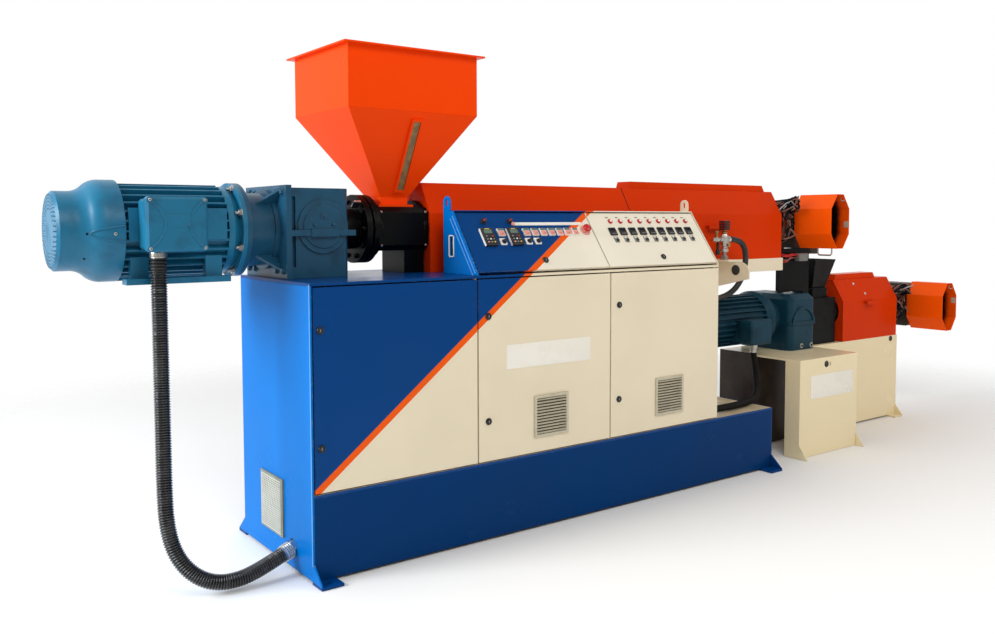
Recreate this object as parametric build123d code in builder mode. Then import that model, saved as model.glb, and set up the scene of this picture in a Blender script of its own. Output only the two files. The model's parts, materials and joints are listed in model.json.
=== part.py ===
from build123d import *
import math
import os

os.makedirs("parts", exist_ok=True)

# Two-stage plastic extruder, millimetres. X runs along the machine from the main motor to the
# second stage, -Y is the operator side, Z is up from the floor. The origin lies on the floor under
# the middle of the overall plan. Places along X are chained from the left end of the cabinet.

# Cabinet and plinth
bay_width = 831.0
cabinet_left = -2295.0
cabinet_depth = 770.0
plinth_overrun = 502.0
deck_top = 372.0
bed_rise = 878.0
deck_plate = 12.0
end_plate = 8.0
sheet = 6.0
foot_flare = 80.0
flare_height = 85.0
foot_pad = 12.0
foot_length = 100.0
anchor_hole = 18.0

# Doors and lids
door_gap = 8.0
door_clear = 6.0
door_depth = 20.0
door_skin = 3.0
hinge_inset = 6.0
hinge_pin = 4.0
pin_play = 0.3
console_depth = 290.0
lid_step = 8.0
lid_run = 205.0
lid_rise = 283.0
lid_depth = 16.0

# Screw axes: both stages share one vertical plane
axis_y = 150.0
axis_rise = 215.0
stage_two_deck = 623.0
barrel_radius = 85.0
band_radius = 108.0
seat = 0.3

# Barrel covers
cover_half = 150.0
cover_fold = 290.0
cover_height = 442.0
cover_top_half = 62.0
cover_sheet = 4.0
cover_lip = 60.0
cover_joint = 2.0

# Screen changer guards
guard_width = 205.0
guard_height = 362.0
guard_length = 285.0
guard_cut = 68.0
guard_rise = 96.0
guard_sheet = 4.0

# First stage along X, from the cabinet towards the fan end and towards the head
gear_inset = 33.0
gear_length = 322.0
bell_length = 158.0
shield_length = 75.0
frame_length = 420.0
cowl_length = 240.0
hub_length = 110.0
coupling_length = 70.0
throat_length = 280.0
hopper_setback = 122.0
seam_setback = 313.0
cover_overhang = 1082.0
rail_tail = 20.0
barrel_bare = 195.0
block_width = 175.0
spout_reach = 165.0

# Second stage along X, from the funnel
throat_two_back = 125.0
throat_two_length = 270.0
hub_two_length = 108.0
gear_two_length = 277.0
gear_two_height = 378.0
bell_two_length = 130.0
motor_two_length = 750.0
cover_two_gap = 45.0
cover_two_length = 700.0
barrel_two_bare = 210.0
outlet_thick = 65.0
base_two_lead = 275.0
base_two_tail = 15.0
table_lead = 305.0
table_width = 620.0

# Derived places
front = -cabinet_depth / 2
back = cabinet_depth / 2
bed_top = deck_top + bed_rise
cabinet_right = cabinet_left + 3 * bay_width
plinth_right = cabinet_right + plinth_overrun
bed_bottom = bed_top - deck_plate
deck_bottom = deck_top - deck_plate
axis_z = bed_top + axis_rise
axis_z_two = stage_two_deck + axis_rise
gear_left = cabinet_left + gear_inset
gear_right = gear_left + gear_length
flange_face = gear_left - bell_length
shield_left = flange_face - shield_length
frame_left = shield_left - frame_length
cowl_left = frame_left - cowl_length
coupling_left = gear_right + hub_length
throat_left = coupling_left + coupling_length
throat_right = throat_left + throat_length
hopper_x = throat_left + hopper_setback
cover_left = throat_right
cover_seam = cabinet_right - seam_setback
cover_right = cabinet_right + cover_overhang
rail_right = cover_right + rail_tail
barrel_end = cover_right + barrel_bare
block_one_left = barrel_end
head_right = block_one_left + block_width
funnel_x = head_right + spout_reach
throat_two_left = funnel_x - throat_two_back
barrel_two_start = throat_two_left + throat_two_length
gear_two_right = throat_two_left - hub_two_length
gear_two_left = gear_two_right - gear_two_length
motor_two_right = gear_two_left - bell_two_length
motor_two_left = motor_two_right - motor_two_length
cover_two_left = barrel_two_start + cover_two_gap
cover_two_right = cover_two_left + cover_two_length
barrel_two_end = cover_two_right + barrel_two_bare
block_two_left = barrel_two_end
base_two_left = gear_two_left - base_two_lead
base_two_right = cover_two_right + base_two_tail
table_left = gear_two_left - table_lead
table_right = table_left + table_width


# Left end plate: one sheet from the floor to the bed with feet that flare out at the bottom
grille_y = 32.0
grille_z = 246.0
conduit_y = -178.0
conduit_z = 104.0
conduit_hole = 68.0
end_vent_wide = 245.0
end_vent_tall = 257.0
vent_rim = 14.0
with BuildPart() as left_end_plate:
    with BuildSketch(Plane.YZ.offset(cabinet_left)):
        with BuildLine():
            Polyline(
                (front - foot_flare, foot_pad), (front, flare_height), (front, bed_bottom),
                (back, bed_bottom), (back, flare_height), (back + foot_flare, foot_pad), close=True)
        make_face()
    extrude(amount=end_plate)
    with BuildSketch(Plane.YZ.offset(cabinet_left)):
        with Locations((grille_y, grille_z)):
            Rectangle(end_vent_wide - 2 * vent_rim, end_vent_tall - 2 * vent_rim)
        with Locations((conduit_y, conduit_z)):
            Circle(conduit_hole / 2)
    extrude(amount=end_plate, mode=Mode.SUBTRACT)
left_end_plate.part.label = "left_end_plate"
export_step(left_end_plate.part, "parts/left_end_plate.step")

with BuildPart() as plinth_end_plate:
    with BuildSketch(Plane.YZ.offset(plinth_right - end_plate)):
        with BuildLine():
            Polyline(
                (front - foot_flare, foot_pad), (front, flare_height), (front, deck_top),
                (back, deck_top), (back, flare_height), (back + foot_flare, foot_pad), close=True)
        make_face()
    extrude(amount=end_plate)
plinth_end_plate.part.label = "plinth_end_plate"
export_step(plinth_end_plate.part, "parts/plinth_end_plate.step")

# Foot pads: four floor plates, each with one anchor hole outside the panels
pad_tuck = 10.0
pad_width = foot_flare + pad_tuck
pad_mid_x = (cabinet_left + plinth_right) / 2
pad_span_x = plinth_right - cabinet_left - foot_length
pad_span_y = cabinet_depth + 2 * foot_flare - pad_width
with BuildPart() as foot_pads:
    with BuildSketch(Plane.XY):
        with Locations((pad_mid_x, 0)):
            with GridLocations(pad_span_x, pad_span_y, 2, 2):
                Rectangle(foot_length, pad_width)
            with GridLocations(pad_span_x, cabinet_depth + foot_flare, 2, 2):
                Circle(anchor_hole / 2, mode=Mode.SUBTRACT)
    extrude(amount=foot_pad)
foot_pads.part.label = "foot_pads"
export_step(foot_pads.part, "parts/foot_pads.step")

panel_left = cabinet_left + end_plate
panel_right = plinth_right - end_plate
with BuildPart() as plinth_panels:
    with BuildSketch(Plane.XY.offset(foot_pad)):
        with Locations(((panel_left + panel_right) / 2, 0)):
            with GridLocations(0, cabinet_depth - end_plate, 1, 2):
                Rectangle(panel_right - panel_left, end_plate)
    extrude(amount=deck_bottom - foot_pad)
plinth_panels.part.label = "plinth_panels"
export_step(plinth_panels.part, "parts/plinth_panels.step")

with BuildPart() as deck:
    with BuildSketch(Plane.XY.offset(deck_bottom)):
        with Locations(((panel_left + panel_right) / 2, 0)):
            Rectangle(panel_right - panel_left, cabinet_depth)
    extrude(amount=deck_plate)
deck.part.label = "deck"
export_step(deck.part, "parts/deck.step")

# Cabinet walls on the deck
wall_gap = 12.0
wall_front = front + door_depth + wall_gap
with BuildPart() as cabinet_back:
    with BuildSketch(Plane.XY.offset(deck_top)):
        with Locations(((panel_left + cabinet_right) / 2, back - sheet / 2)):
            Rectangle(cabinet_right - panel_left, sheet)
    extrude(amount=bed_bottom - deck_top)
cabinet_back.part.label = "cabinet_back"
export_step(cabinet_back.part, "parts/cabinet_back.step")

wall_depth = back - sheet - wall_front
wall_mid = (back - sheet + wall_front) / 2
with BuildPart() as cabinet_walls:
    with BuildSketch(Plane.XY.offset(deck_top)):
        with Locations(
                (cabinet_left + bay_width, wall_mid), (cabinet_left + 2 * bay_width, wall_mid),
                (cabinet_right - sheet / 2, wall_mid)):
            Rectangle(sheet, wall_depth)
    extrude(amount=bed_bottom - deck_top)
cabinet_walls.part.label = "cabinet_walls"
export_step(cabinet_walls.part, "parts/cabinet_walls.step")

with BuildPart() as bed:
    with BuildSketch(Plane.XY.offset(bed_bottom)):
        with Locations(((cabinet_left + cabinet_right) / 2, 0)):
            Rectangle(cabinet_right - cabinet_left, cabinet_depth)
    extrude(amount=deck_plate)
bed.part.label = "bed"
export_step(bed.part, "parts/bed.step")

# Doors: shallow pans that turn on two upright pins at their right edge
door_bottom = deck_top + door_clear
door_top = bed_bottom - door_clear
door_mid_z = (door_bottom + door_top) / 2
door_tall = door_top - door_bottom
pivot_block = 2 * (hinge_inset + pin_play) + hinge_pin
pivot_tall = 26.0
pin_short = 2.0
hinge_y = front + hinge_inset
left_door_left = panel_left + door_clear
left_door_right = cabinet_left + bay_width - door_gap / 2
middle_door_left = left_door_right + door_gap
middle_door_right = cabinet_left + 2 * bay_width - door_gap / 2
right_door_left = middle_door_right + door_gap
right_door_right = cabinet_right
pin_xs = [left_door_right - hinge_inset, middle_door_right - hinge_inset, right_door_right - hinge_inset]
pin_places = [(x, hinge_y) for x in pin_xs]

with BuildPart() as hinge_pins:
    with BuildSketch(Plane.XY.offset(deck_top)):
        with Locations(*pin_places):
            Circle(hinge_pin)
    extrude(amount=door_clear + pivot_tall - pin_short)
    with BuildSketch(Plane.XY.offset(bed_bottom)):
        with Locations(*pin_places):
            Circle(hinge_pin)
    extrude(amount=-(door_clear + pivot_tall - pin_short))
hinge_pins.part.label = "hinge_pins"
export_step(hinge_pins.part, "parts/hinge_pins.step")

vent_tall = 205.0
vent_wide = 214.0
vent_rise = 180.0
vent_z = deck_top + vent_rise
vent_in = 431.0
middle_vent_x = middle_door_left + vent_in
right_vent_x = right_door_left + vent_in

with BuildPart() as left_door:
    with BuildSketch(Plane.XZ.offset(-front)):
        with Locations(((left_door_left + left_door_right) / 2, door_mid_z)):
            Rectangle(left_door_right - left_door_left, door_tall)
    extrude(amount=-door_depth)
    with BuildSketch(Plane.XZ.offset(-front - door_skin)):
        with Locations(((left_door_left + left_door_right) / 2, door_mid_z)):
            Rectangle(left_door_right - left_door_left - 2 * door_skin, door_tall - 2 * door_skin)
    extrude(amount=-door_depth, mode=Mode.SUBTRACT)
    with Locations((left_door_right - pivot_block / 2, front + pivot_block / 2, door_bottom)):
        Box(pivot_block, pivot_block, pivot_tall, align=(Align.CENTER, Align.CENTER, Align.MIN))
    with Locations((left_door_right - pivot_block / 2, front + pivot_block / 2, door_top)):
        Box(pivot_block, pivot_block, pivot_tall, align=(Align.CENTER, Align.CENTER, Align.MAX))
    with Locations((pin_xs[0], hinge_y, door_mid_z)):
        Cylinder(hinge_pin + pin_play, door_tall, mode=Mode.SUBTRACT)
left_door.part.label = "left_door"
export_step(left_door.part, "parts/left_door.step")

with BuildPart() as middle_door:
    with BuildSketch(Plane.XZ.offset(-front)):
        with Locations(((middle_door_left + middle_door_right) / 2, door_mid_z)):
            Rectangle(middle_door_right - middle_door_left, door_tall)
    extrude(amount=-door_depth)
    with BuildSketch(Plane.XZ.offset(-front - door_skin)):
        with Locations(((middle_door_left + middle_door_right) / 2, door_mid_z)):
            Rectangle(middle_door_right - middle_door_left - 2 * door_skin, door_tall - 2 * door_skin)
    extrude(amount=-door_depth, mode=Mode.SUBTRACT)
    with BuildSketch(Plane.XZ.offset(-front)):
        with Locations((middle_vent_x, vent_z)):
            Rectangle(vent_wide - 2 * vent_rim, vent_tall - 2 * vent_rim)
    extrude(amount=-door_skin, mode=Mode.SUBTRACT)
    with Locations((middle_door_right - pivot_block / 2, front + pivot_block / 2, door_bottom)):
        Box(pivot_block, pivot_block, pivot_tall, align=(Align.CENTER, Align.CENTER, Align.MIN))
    with Locations((middle_door_right - pivot_block / 2, front + pivot_block / 2, door_top)):
        Box(pivot_block, pivot_block, pivot_tall, align=(Align.CENTER, Align.CENTER, Align.MAX))
    with Locations((pin_xs[1], hinge_y, door_mid_z)):
        Cylinder(hinge_pin + pin_play, door_tall, mode=Mode.SUBTRACT)
middle_door.part.label = "middle_door"
export_step(middle_door.part, "parts/middle_door.step")

with BuildPart() as right_door:
    with BuildSketch(Plane.XZ.offset(-front)):
        with Locations(((right_door_left + right_door_right) / 2, door_mid_z)):
            Rectangle(right_door_right - right_door_left, door_tall)
    extrude(amount=-door_depth)
    with BuildSketch(Plane.XZ.offset(-front - door_skin)):
        with Locations(((right_door_left + right_door_right) / 2, door_mid_z)):
            Rectangle(right_door_right - right_door_left - 2 * door_skin, door_tall - 2 * door_skin)
    extrude(amount=-door_depth, mode=Mode.SUBTRACT)
    with BuildSketch(Plane.XZ.offset(-front)):
        with Locations((right_vent_x, vent_z)):
            Rectangle(vent_wide - 2 * vent_rim, vent_tall - 2 * vent_rim)
    extrude(amount=-door_skin, mode=Mode.SUBTRACT)
    with Locations((right_door_right - pivot_block / 2, front + pivot_block / 2, door_bottom)):
        Box(pivot_block, pivot_block, pivot_tall, align=(Align.CENTER, Align.CENTER, Align.MIN))
    with Locations((right_door_right - pivot_block / 2, front + pivot_block / 2, door_top)):
        Box(pivot_block, pivot_block, pivot_tall, align=(Align.CENTER, Align.CENTER, Align.MAX))
    with Locations((pin_xs[2], hinge_y, door_mid_z)):
        Cylinder(hinge_pin + pin_play, door_tall, mode=Mode.SUBTRACT)
right_door.part.label = "right_door"
export_step(right_door.part, "parts/right_door.step")

# Air grilles: a rim with sloping louvre blades, one on each vented door and one on the end plate
vent_proud = 8.0
blade_deep = 10.0
blade_thick = 2.5
blade_slope = 38
blade_count = 12
blade_pitch = (vent_tall - 2 * vent_rim) / blade_count
with BuildPart() as middle_vent:
    with BuildSketch(Plane.XZ.offset(-front)):
        with Locations((middle_vent_x, vent_z)):
            Rectangle(vent_wide, vent_tall)
            Rectangle(vent_wide - 2 * vent_rim, vent_tall - 2 * vent_rim, mode=Mode.SUBTRACT)
    extrude(amount=vent_proud)
    with BuildSketch(Plane.YZ.offset(middle_vent_x - vent_wide / 2 + vent_rim)):
        with Locations((front - vent_proud / 2, vent_z)):
            with GridLocations(0, blade_pitch, 1, blade_count):
                Rectangle(blade_deep, blade_thick, rotation=blade_slope)
    extrude(amount=vent_wide - 2 * vent_rim)
middle_vent.part.label = "middle_vent"
export_step(middle_vent.part, "parts/middle_vent.step")

with BuildPart() as right_vent:
    with BuildSketch(Plane.XZ.offset(-front)):
        with Locations((right_vent_x, vent_z)):
            Rectangle(vent_wide, vent_tall)
            Rectangle(vent_wide - 2 * vent_rim, vent_tall - 2 * vent_rim, mode=Mode.SUBTRACT)
    extrude(amount=vent_proud)
    with BuildSketch(Plane.YZ.offset(right_vent_x - vent_wide / 2 + vent_rim)):
        with Locations((front - vent_proud / 2, vent_z)):
            with GridLocations(0, blade_pitch, 1, blade_count):
                Rectangle(blade_deep, blade_thick, rotation=blade_slope)
    extrude(amount=vent_wide - 2 * vent_rim)
right_vent.part.label = "right_vent"
export_step(right_vent.part, "parts/right_vent.step")

end_blades = 16
end_pitch = (end_vent_tall - 2 * vent_rim) / end_blades
with BuildPart() as end_vent:
    with BuildSketch(Plane.YZ.offset(cabinet_left)):
        with Locations((grille_y, grille_z)):
            Rectangle(end_vent_wide, end_vent_tall)
            Rectangle(end_vent_wide - 2 * vent_rim, end_vent_tall - 2 * vent_rim, mode=Mode.SUBTRACT)
    extrude(amount=-vent_proud)
    with BuildSketch(Plane.XZ.offset(-(grille_y - end_vent_wide / 2 + vent_rim))):
        with Locations((cabinet_left - vent_proud / 2, grille_z)):
            with GridLocations(0, end_pitch, 1, end_blades):
                Rectangle(blade_deep, blade_thick, rotation=blade_slope)
    extrude(amount=-(end_vent_wide - 2 * vent_rim))
end_vent.part.label = "end_vent"
export_step(end_vent.part, "parts/end_vent.step")

# Console: a desk on the second and third bays with two lids hinged along their top edge
console_left = cabinet_left + bay_width
console_right = cabinet_right
console_mid = cabinet_left + 2 * bay_width
console_back = front + console_depth
lid_foot_z = bed_top + lid_step
slope = math.atan2(lid_rise, lid_run)
slope_length = math.hypot(lid_rise, lid_run)
lug_width = 60.0
lug_rise = 74.0
lug_hole = 16.0
lug_hole_tall = 32.0
lug_hole_drop = 32.0
slot_in = 72.0
slot_rise = 132.0
slot_tall = 90.0
slot_wide = 22.0
pin_drop = 8.0
hinge_up = slope_length - pin_drop
hinge_in = lid_depth / 2
lid_hinge_y = front + hinge_up * math.cos(slope) + hinge_in * math.sin(slope)
lid_hinge_z = lid_foot_z + hinge_up * math.sin(slope) - hinge_in * math.cos(slope)
hood_z = lid_foot_z + lid_rise + door_clear
lid_pin_length = 20.0

with BuildPart() as console_left_end:
    with BuildSketch(Plane.YZ.offset(console_left)):
        with BuildLine():
            Polyline(
                (front, bed_top), (front, lid_foot_z), (front + lid_run, hood_z),
                (console_back, hood_z), (console_back, bed_top), close=True)
        make_face()
        with Locations((console_back - lug_width / 2, hood_z)):
            SlotOverall(2 * lug_rise, lug_width, rotation=90)
        with Locations((console_back - lug_width / 2, hood_z + lug_rise - lug_hole_drop)):
            SlotOverall(lug_hole_tall, lug_hole, rotation=90, mode=Mode.SUBTRACT)
        with Locations((console_back - slot_in, bed_top + slot_rise)):
            SlotOverall(slot_tall, slot_wide, rotation=90, mode=Mode.SUBTRACT)
    extrude(amount=sheet)
    with BuildSketch(Plane.YZ.offset(console_left + sheet)):
        with Locations((lid_hinge_y, lid_hinge_z)):
            Circle(hinge_pin)
    extrude(amount=lid_pin_length)
console_left_end.part.label = "console_left_end"
export_step(console_left_end.part, "parts/console_left_end.step")

with BuildPart() as console_right_end:
    with BuildSketch(Plane.YZ.offset(console_right)):
        with BuildLine():
            Polyline(
                (front, bed_top), (front, lid_foot_z), (front + lid_run, hood_z),
                (console_back, hood_z), (console_back, bed_top), close=True)
        make_face()
        with Locations((console_back - lug_width / 2, hood_z)):
            SlotOverall(2 * lug_rise, lug_width, rotation=90)
        with Locations((console_back - lug_width / 2, hood_z + lug_rise - lug_hole_drop)):
            SlotOverall(lug_hole_tall, lug_hole, rotation=90, mode=Mode.SUBTRACT)
    extrude(amount=-sheet)
    with BuildSketch(Plane.YZ.offset(console_right - sheet)):
        with Locations((lid_hinge_y, lid_hinge_z)):
            Circle(hinge_pin)
    extrude(amount=-lid_pin_length)
console_right_end.part.label = "console_right_end"
export_step(console_right_end.part, "parts/console_right_end.step")

divider_setback = 60.0
divider_front = front + divider_setback
hood_overlap = 4.0
hood_front = front + lid_run - hood_overlap
divider_clear = 20.0
divider_drop = 45.0
with BuildPart() as console_shell:
    with BuildSketch(Plane.XY.offset(bed_top)):
        with Locations(((console_left + console_right) / 2, console_back - sheet / 2)):
            Rectangle(console_right - console_left - 2 * sheet, sheet)
    extrude(amount=hood_z - bed_top)
    with BuildSketch(Plane.XY.offset(hood_z)):
        with Locations(((console_left + console_right) / 2, (hood_front + console_back) / 2)):
            Rectangle(console_right - console_left - 2 * sheet, console_back - hood_front)
    extrude(amount=sheet)
    with BuildSketch(Plane.YZ.offset(console_mid - sheet / 2)):
        with BuildLine():
            Polyline(
                (divider_front, bed_top), (lid_hinge_y - divider_clear, lid_hinge_z - divider_drop),
                (lid_hinge_y - divider_clear / 2, hood_z), (console_back - sheet, hood_z), (console_back - sheet, bed_top),
                close=True)
        make_face()
    extrude(amount=sheet)
    with BuildSketch(Plane.YZ.offset(console_mid - sheet / 2 - lid_pin_length)):
        with Locations((lid_hinge_y, lid_hinge_z)):
            Circle(hinge_pin)
    extrude(amount=2 * lid_pin_length + sheet)
console_shell.part.label = "console_shell"
export_step(console_shell.part, "parts/console_shell.step")

# Lid planes: local x runs along the machine, local y up the slope, local z out of the desk
lid_start = 10.0
lid_mid_up = (lid_start + slope_length) / 2
lid_tall = slope_length - lid_start
left_lid_left = console_left + sheet + door_clear
left_lid_right = console_mid - door_gap / 2
right_lid_left = console_mid + door_gap / 2
right_lid_right = console_right - sheet - door_clear
lid_normal = (0, -math.sin(slope), math.cos(slope))
lid_plane = Plane(origin=(0, front, lid_foot_z), x_dir=(1, 0, 0), z_dir=lid_normal)
lid_cut = Plane(
    origin=(0, front + door_skin * math.sin(slope), lid_foot_z - door_skin * math.cos(slope)),
    x_dir=(1, 0, 0), z_dir=lid_normal)
with BuildPart() as left_lid:
    with BuildSketch(lid_plane):
        with Locations(((left_lid_left + left_lid_right) / 2, lid_mid_up)):
            Rectangle(left_lid_right - left_lid_left, lid_tall)
    extrude(amount=-lid_depth)
    with BuildSketch(lid_cut):
        with Locations(((left_lid_left + left_lid_right) / 2, lid_mid_up - lid_depth / 2)):
            Rectangle(left_lid_right - left_lid_left - 2 * lid_depth, lid_tall - 2 * lid_depth)
    extrude(amount=-lid_depth, mode=Mode.SUBTRACT)
    with BuildSketch(Plane.YZ.offset(left_lid_left - pin_play)):
        with Locations((lid_hinge_y, lid_hinge_z)):
            Circle(hinge_pin + pin_play)
    extrude(amount=left_lid_right - left_lid_left + 2 * pin_play, mode=Mode.SUBTRACT)
left_lid.part.label = "left_lid"
export_step(left_lid.part, "parts/left_lid.step")

with BuildPart() as right_lid:
    with BuildSketch(lid_plane):
        with Locations(((right_lid_left + right_lid_right) / 2, lid_mid_up)):
            Rectangle(right_lid_right - right_lid_left, lid_tall)
    extrude(amount=-lid_depth)
    with BuildSketch(lid_cut):
        with Locations(((right_lid_left + right_lid_right) / 2, lid_mid_up - lid_depth / 2)):
            Rectangle(right_lid_right - right_lid_left - 2 * lid_depth, lid_tall - 2 * lid_depth)
    extrude(amount=-lid_depth, mode=Mode.SUBTRACT)
    with BuildSketch(Plane.YZ.offset(right_lid_left - pin_play)):
        with Locations((lid_hinge_y, lid_hinge_z)):
            Circle(hinge_pin + pin_play)
    extrude(amount=right_lid_right - right_lid_left + 2 * pin_play, mode=Mode.SUBTRACT)
right_lid.part.label = "right_lid"
export_step(right_lid.part, "parts/right_lid.step")

# Desk controls, each standing on its lid at a place measured from the lid's left edge
knob_up = 294.0
row_up = 227.0
low_up = 176.0
knob_radius = 15.0
knob_tall = 22.0
knob_in = 139.0
knob_pitch = 156.0
keypad_in = 208.0
keypad_up = 200.0
keypad_wide = 72.0
keypad_tall = 100.0
keypad_proud = 14.0
meter_side = 38.0
meter_pitch = 53.0
meter_in = 531.0
meter_count = 7
switch_ins = [205.0, 363.0, 419.0]
plate_proud = 10.0
stop_in = 765.0
stop_up = 240.0
stop_radius = 22.0
stop_proud = 34.0
with BuildPart() as left_controls:
    with BuildSketch(lid_plane):
        with Locations((left_lid_left + knob_in + knob_pitch / 2, knob_up)):
            with GridLocations(knob_pitch, 0, 2, 1):
                Circle(knob_radius)
    extrude(amount=knob_tall)
    with BuildSketch(lid_plane):
        with Locations((left_lid_left + keypad_in, keypad_up)):
            with GridLocations(knob_pitch, 0, 2, 1):
                Rectangle(keypad_wide, keypad_tall)
    extrude(amount=keypad_proud)
    with BuildSketch(lid_plane):
        with Locations((left_lid_left + meter_in, row_up)):
            with GridLocations(meter_pitch, 0, meter_count, 1):
                Rectangle(meter_side, meter_side)
        with Locations(*[(left_lid_left + place, low_up) for place in switch_ins]):
            Rectangle(meter_side, meter_side)
    extrude(amount=plate_proud)
    with BuildSketch(lid_plane):
        with Locations((left_lid_left + stop_in, stop_up)):
            Circle(stop_radius)
    extrude(amount=stop_proud)
left_controls.part.label = "left_controls"
export_step(left_controls.part, "parts/left_controls.step")

lamp_in = 441.0
lamp_pitch = 73.2
lamp_radius = 14.0
lamp_proud = 16.0
zone_count = 9
controller_in = 425.0
controller_side = 48.0
label_wide = 34.0
label_tall = 28.0
with BuildPart() as right_controls:
    with BuildSketch(lid_plane):
        with Locations((right_lid_left + lamp_in, knob_up)):
            with GridLocations(lamp_pitch, 0, zone_count, 1):
                Circle(lamp_radius)
    extrude(amount=lamp_proud)
    with BuildSketch(lid_plane):
        with Locations((right_lid_left + controller_in, row_up)):
            with GridLocations(lamp_pitch, 0, zone_count, 1):
                Rectangle(controller_side, controller_side)
        with Locations((right_lid_left + controller_in, low_up)):
            with GridLocations(lamp_pitch, 0, zone_count, 1):
                Rectangle(label_wide, label_tall)
    extrude(amount=plate_proud)
right_controls.part.label = "right_controls"
export_step(right_controls.part, "parts/right_controls.step")

# Main gearbox on the left bay: a box casting with a square flange plate towards the motor, a round
# cover and an oil channel bar on its front
gear_half = 235.0
gear_height = 410.0
gear_plate = 26.0
gear_shrink = 22.0
gear_pad = 14.0
gear_pad_radius = 140.0
disc_in = 181.0
disc_rise = 228.0
disc_radius = 120.0
disc_proud = 8.0
disc_step = 24.0
bar_rise = 200.0
bar_tall = 26.0
bar_proud = 22.0
bar_overrun = 12.0
plug_rise = 48.0
plug_radius = 15.0
slot_cut = 16.0
slot_cut_wide = 22.0
slot_cut_tall = 310.0
slot_cut_in = 15.0
grip_wide = 130.0
grip_tall = 34.0
grip_proud = 28.0
gear_face = axis_y - gear_half + gear_shrink
gear_body_left = gear_left + gear_plate
gear_body_right = gear_right - gear_pad
disc_x = gear_left + disc_in
disc_z = bed_top + disc_rise
with BuildPart() as gearbox:
    with BuildSketch(Plane.YZ.offset(gear_left)):
        with Locations((axis_y, bed_top + gear_height / 2)):
            Rectangle(2 * gear_half, gear_height)
    extrude(amount=gear_plate)
    with BuildSketch(Plane.YZ.offset(gear_body_left)):
        with Locations((axis_y, bed_top + (gear_height - gear_shrink / 2) / 2)):
            Rectangle(2 * (gear_half - gear_shrink), gear_height - gear_shrink / 2)
    extrude(amount=gear_body_right - gear_body_left)
    chamfer(gearbox.edges().filter_by(Axis.Z).sort_by(Axis.X)[-2:], gear_pad)
    with BuildSketch(Plane.YZ.offset(gear_body_right)):
        with Locations((axis_y, axis_z)):
            Circle(gear_pad_radius)
    extrude(amount=gear_pad)
    with BuildSketch(Plane.XZ.offset(-gear_face)):
        with Locations((gear_body_left + slot_cut_in, bed_top + gear_height / 2)):
            Rectangle(slot_cut_wide, slot_cut_tall)
    extrude(amount=-slot_cut, mode=Mode.SUBTRACT)
    with BuildSketch(Plane.XZ.offset(-gear_face)):
        with Locations((disc_x, disc_z)):
            Circle(disc_radius)
    extrude(amount=disc_proud)
    with BuildSketch(Plane.XZ.offset(-gear_face)):
        with Locations((disc_x, disc_z)):
            Circle(disc_radius - disc_step)
        with Locations((disc_x, disc_z + plug_rise)):
            Circle(plug_radius)
    extrude(amount=disc_proud * 1.5)
    with BuildSketch(Plane.XZ.offset(-gear_face)):
        with Locations(((gear_body_left + gear_right + bar_overrun) / 2, bed_top + bar_rise)):
            Rectangle(gear_right + bar_overrun - gear_body_left, bar_tall)
    extrude(amount=bar_proud)
    with BuildSketch(Plane.XZ.offset(-gear_face)):
        with Locations((disc_x, bed_top + bar_rise)):
            Rectangle(grip_wide, grip_tall)
    extrude(amount=grip_proud)
gearbox.part.label = "gearbox"
export_step(gearbox.part, "parts/gearbox.step")

# Main motor: bell housing with gussets, flange, finned frame and fan cowl on one axis
main_axis = Axis((0, axis_y, axis_z), (1, 0, 0))
motor_flange_radius = 205.0
motor_flange = 20.0
bell_seat_radius = 178.0
bell_seat = 22.0
bell_waist = 162.0
gusset_turns = (45, 135, 225, 315)
gusset_length = 92.0
gusset_thick = 12.0
gusset_root = 150.0
gusset_tip = 256.0
with BuildPart() as bell_housing:
    with BuildSketch(Plane.XZ.offset(-axis_y)):
        with BuildLine():
            Polyline(
                (gear_left, axis_z), (gear_left, axis_z + bell_seat_radius),
                (gear_left - bell_seat, axis_z + bell_seat_radius), (gear_left - bell_seat, axis_z + bell_waist),
                (flange_face + motor_flange, axis_z + bell_waist),
                (flange_face + motor_flange, axis_z + motor_flange_radius),
                (flange_face, axis_z + motor_flange_radius), (flange_face, axis_z), close=True)
        make_face()
    revolve(axis=main_axis)
    for turn in gusset_turns:
        across = (0, math.sin(math.radians(turn)), -math.cos(math.radians(turn)))
        with BuildSketch(Plane(origin=(gear_left, axis_y, axis_z), x_dir=(-1, 0, 0), z_dir=across)):
            with BuildLine():
                Polyline((0, gusset_root), (gusset_length, gusset_root), (gusset_length, bell_waist),
                         (0, gusset_tip), close=True)
            make_face()
        extrude(amount=gusset_thick / 2, both=True)
bell_housing.part.label = "bell_housing"
export_step(bell_housing.part, "parts/bell_housing.step")

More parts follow.
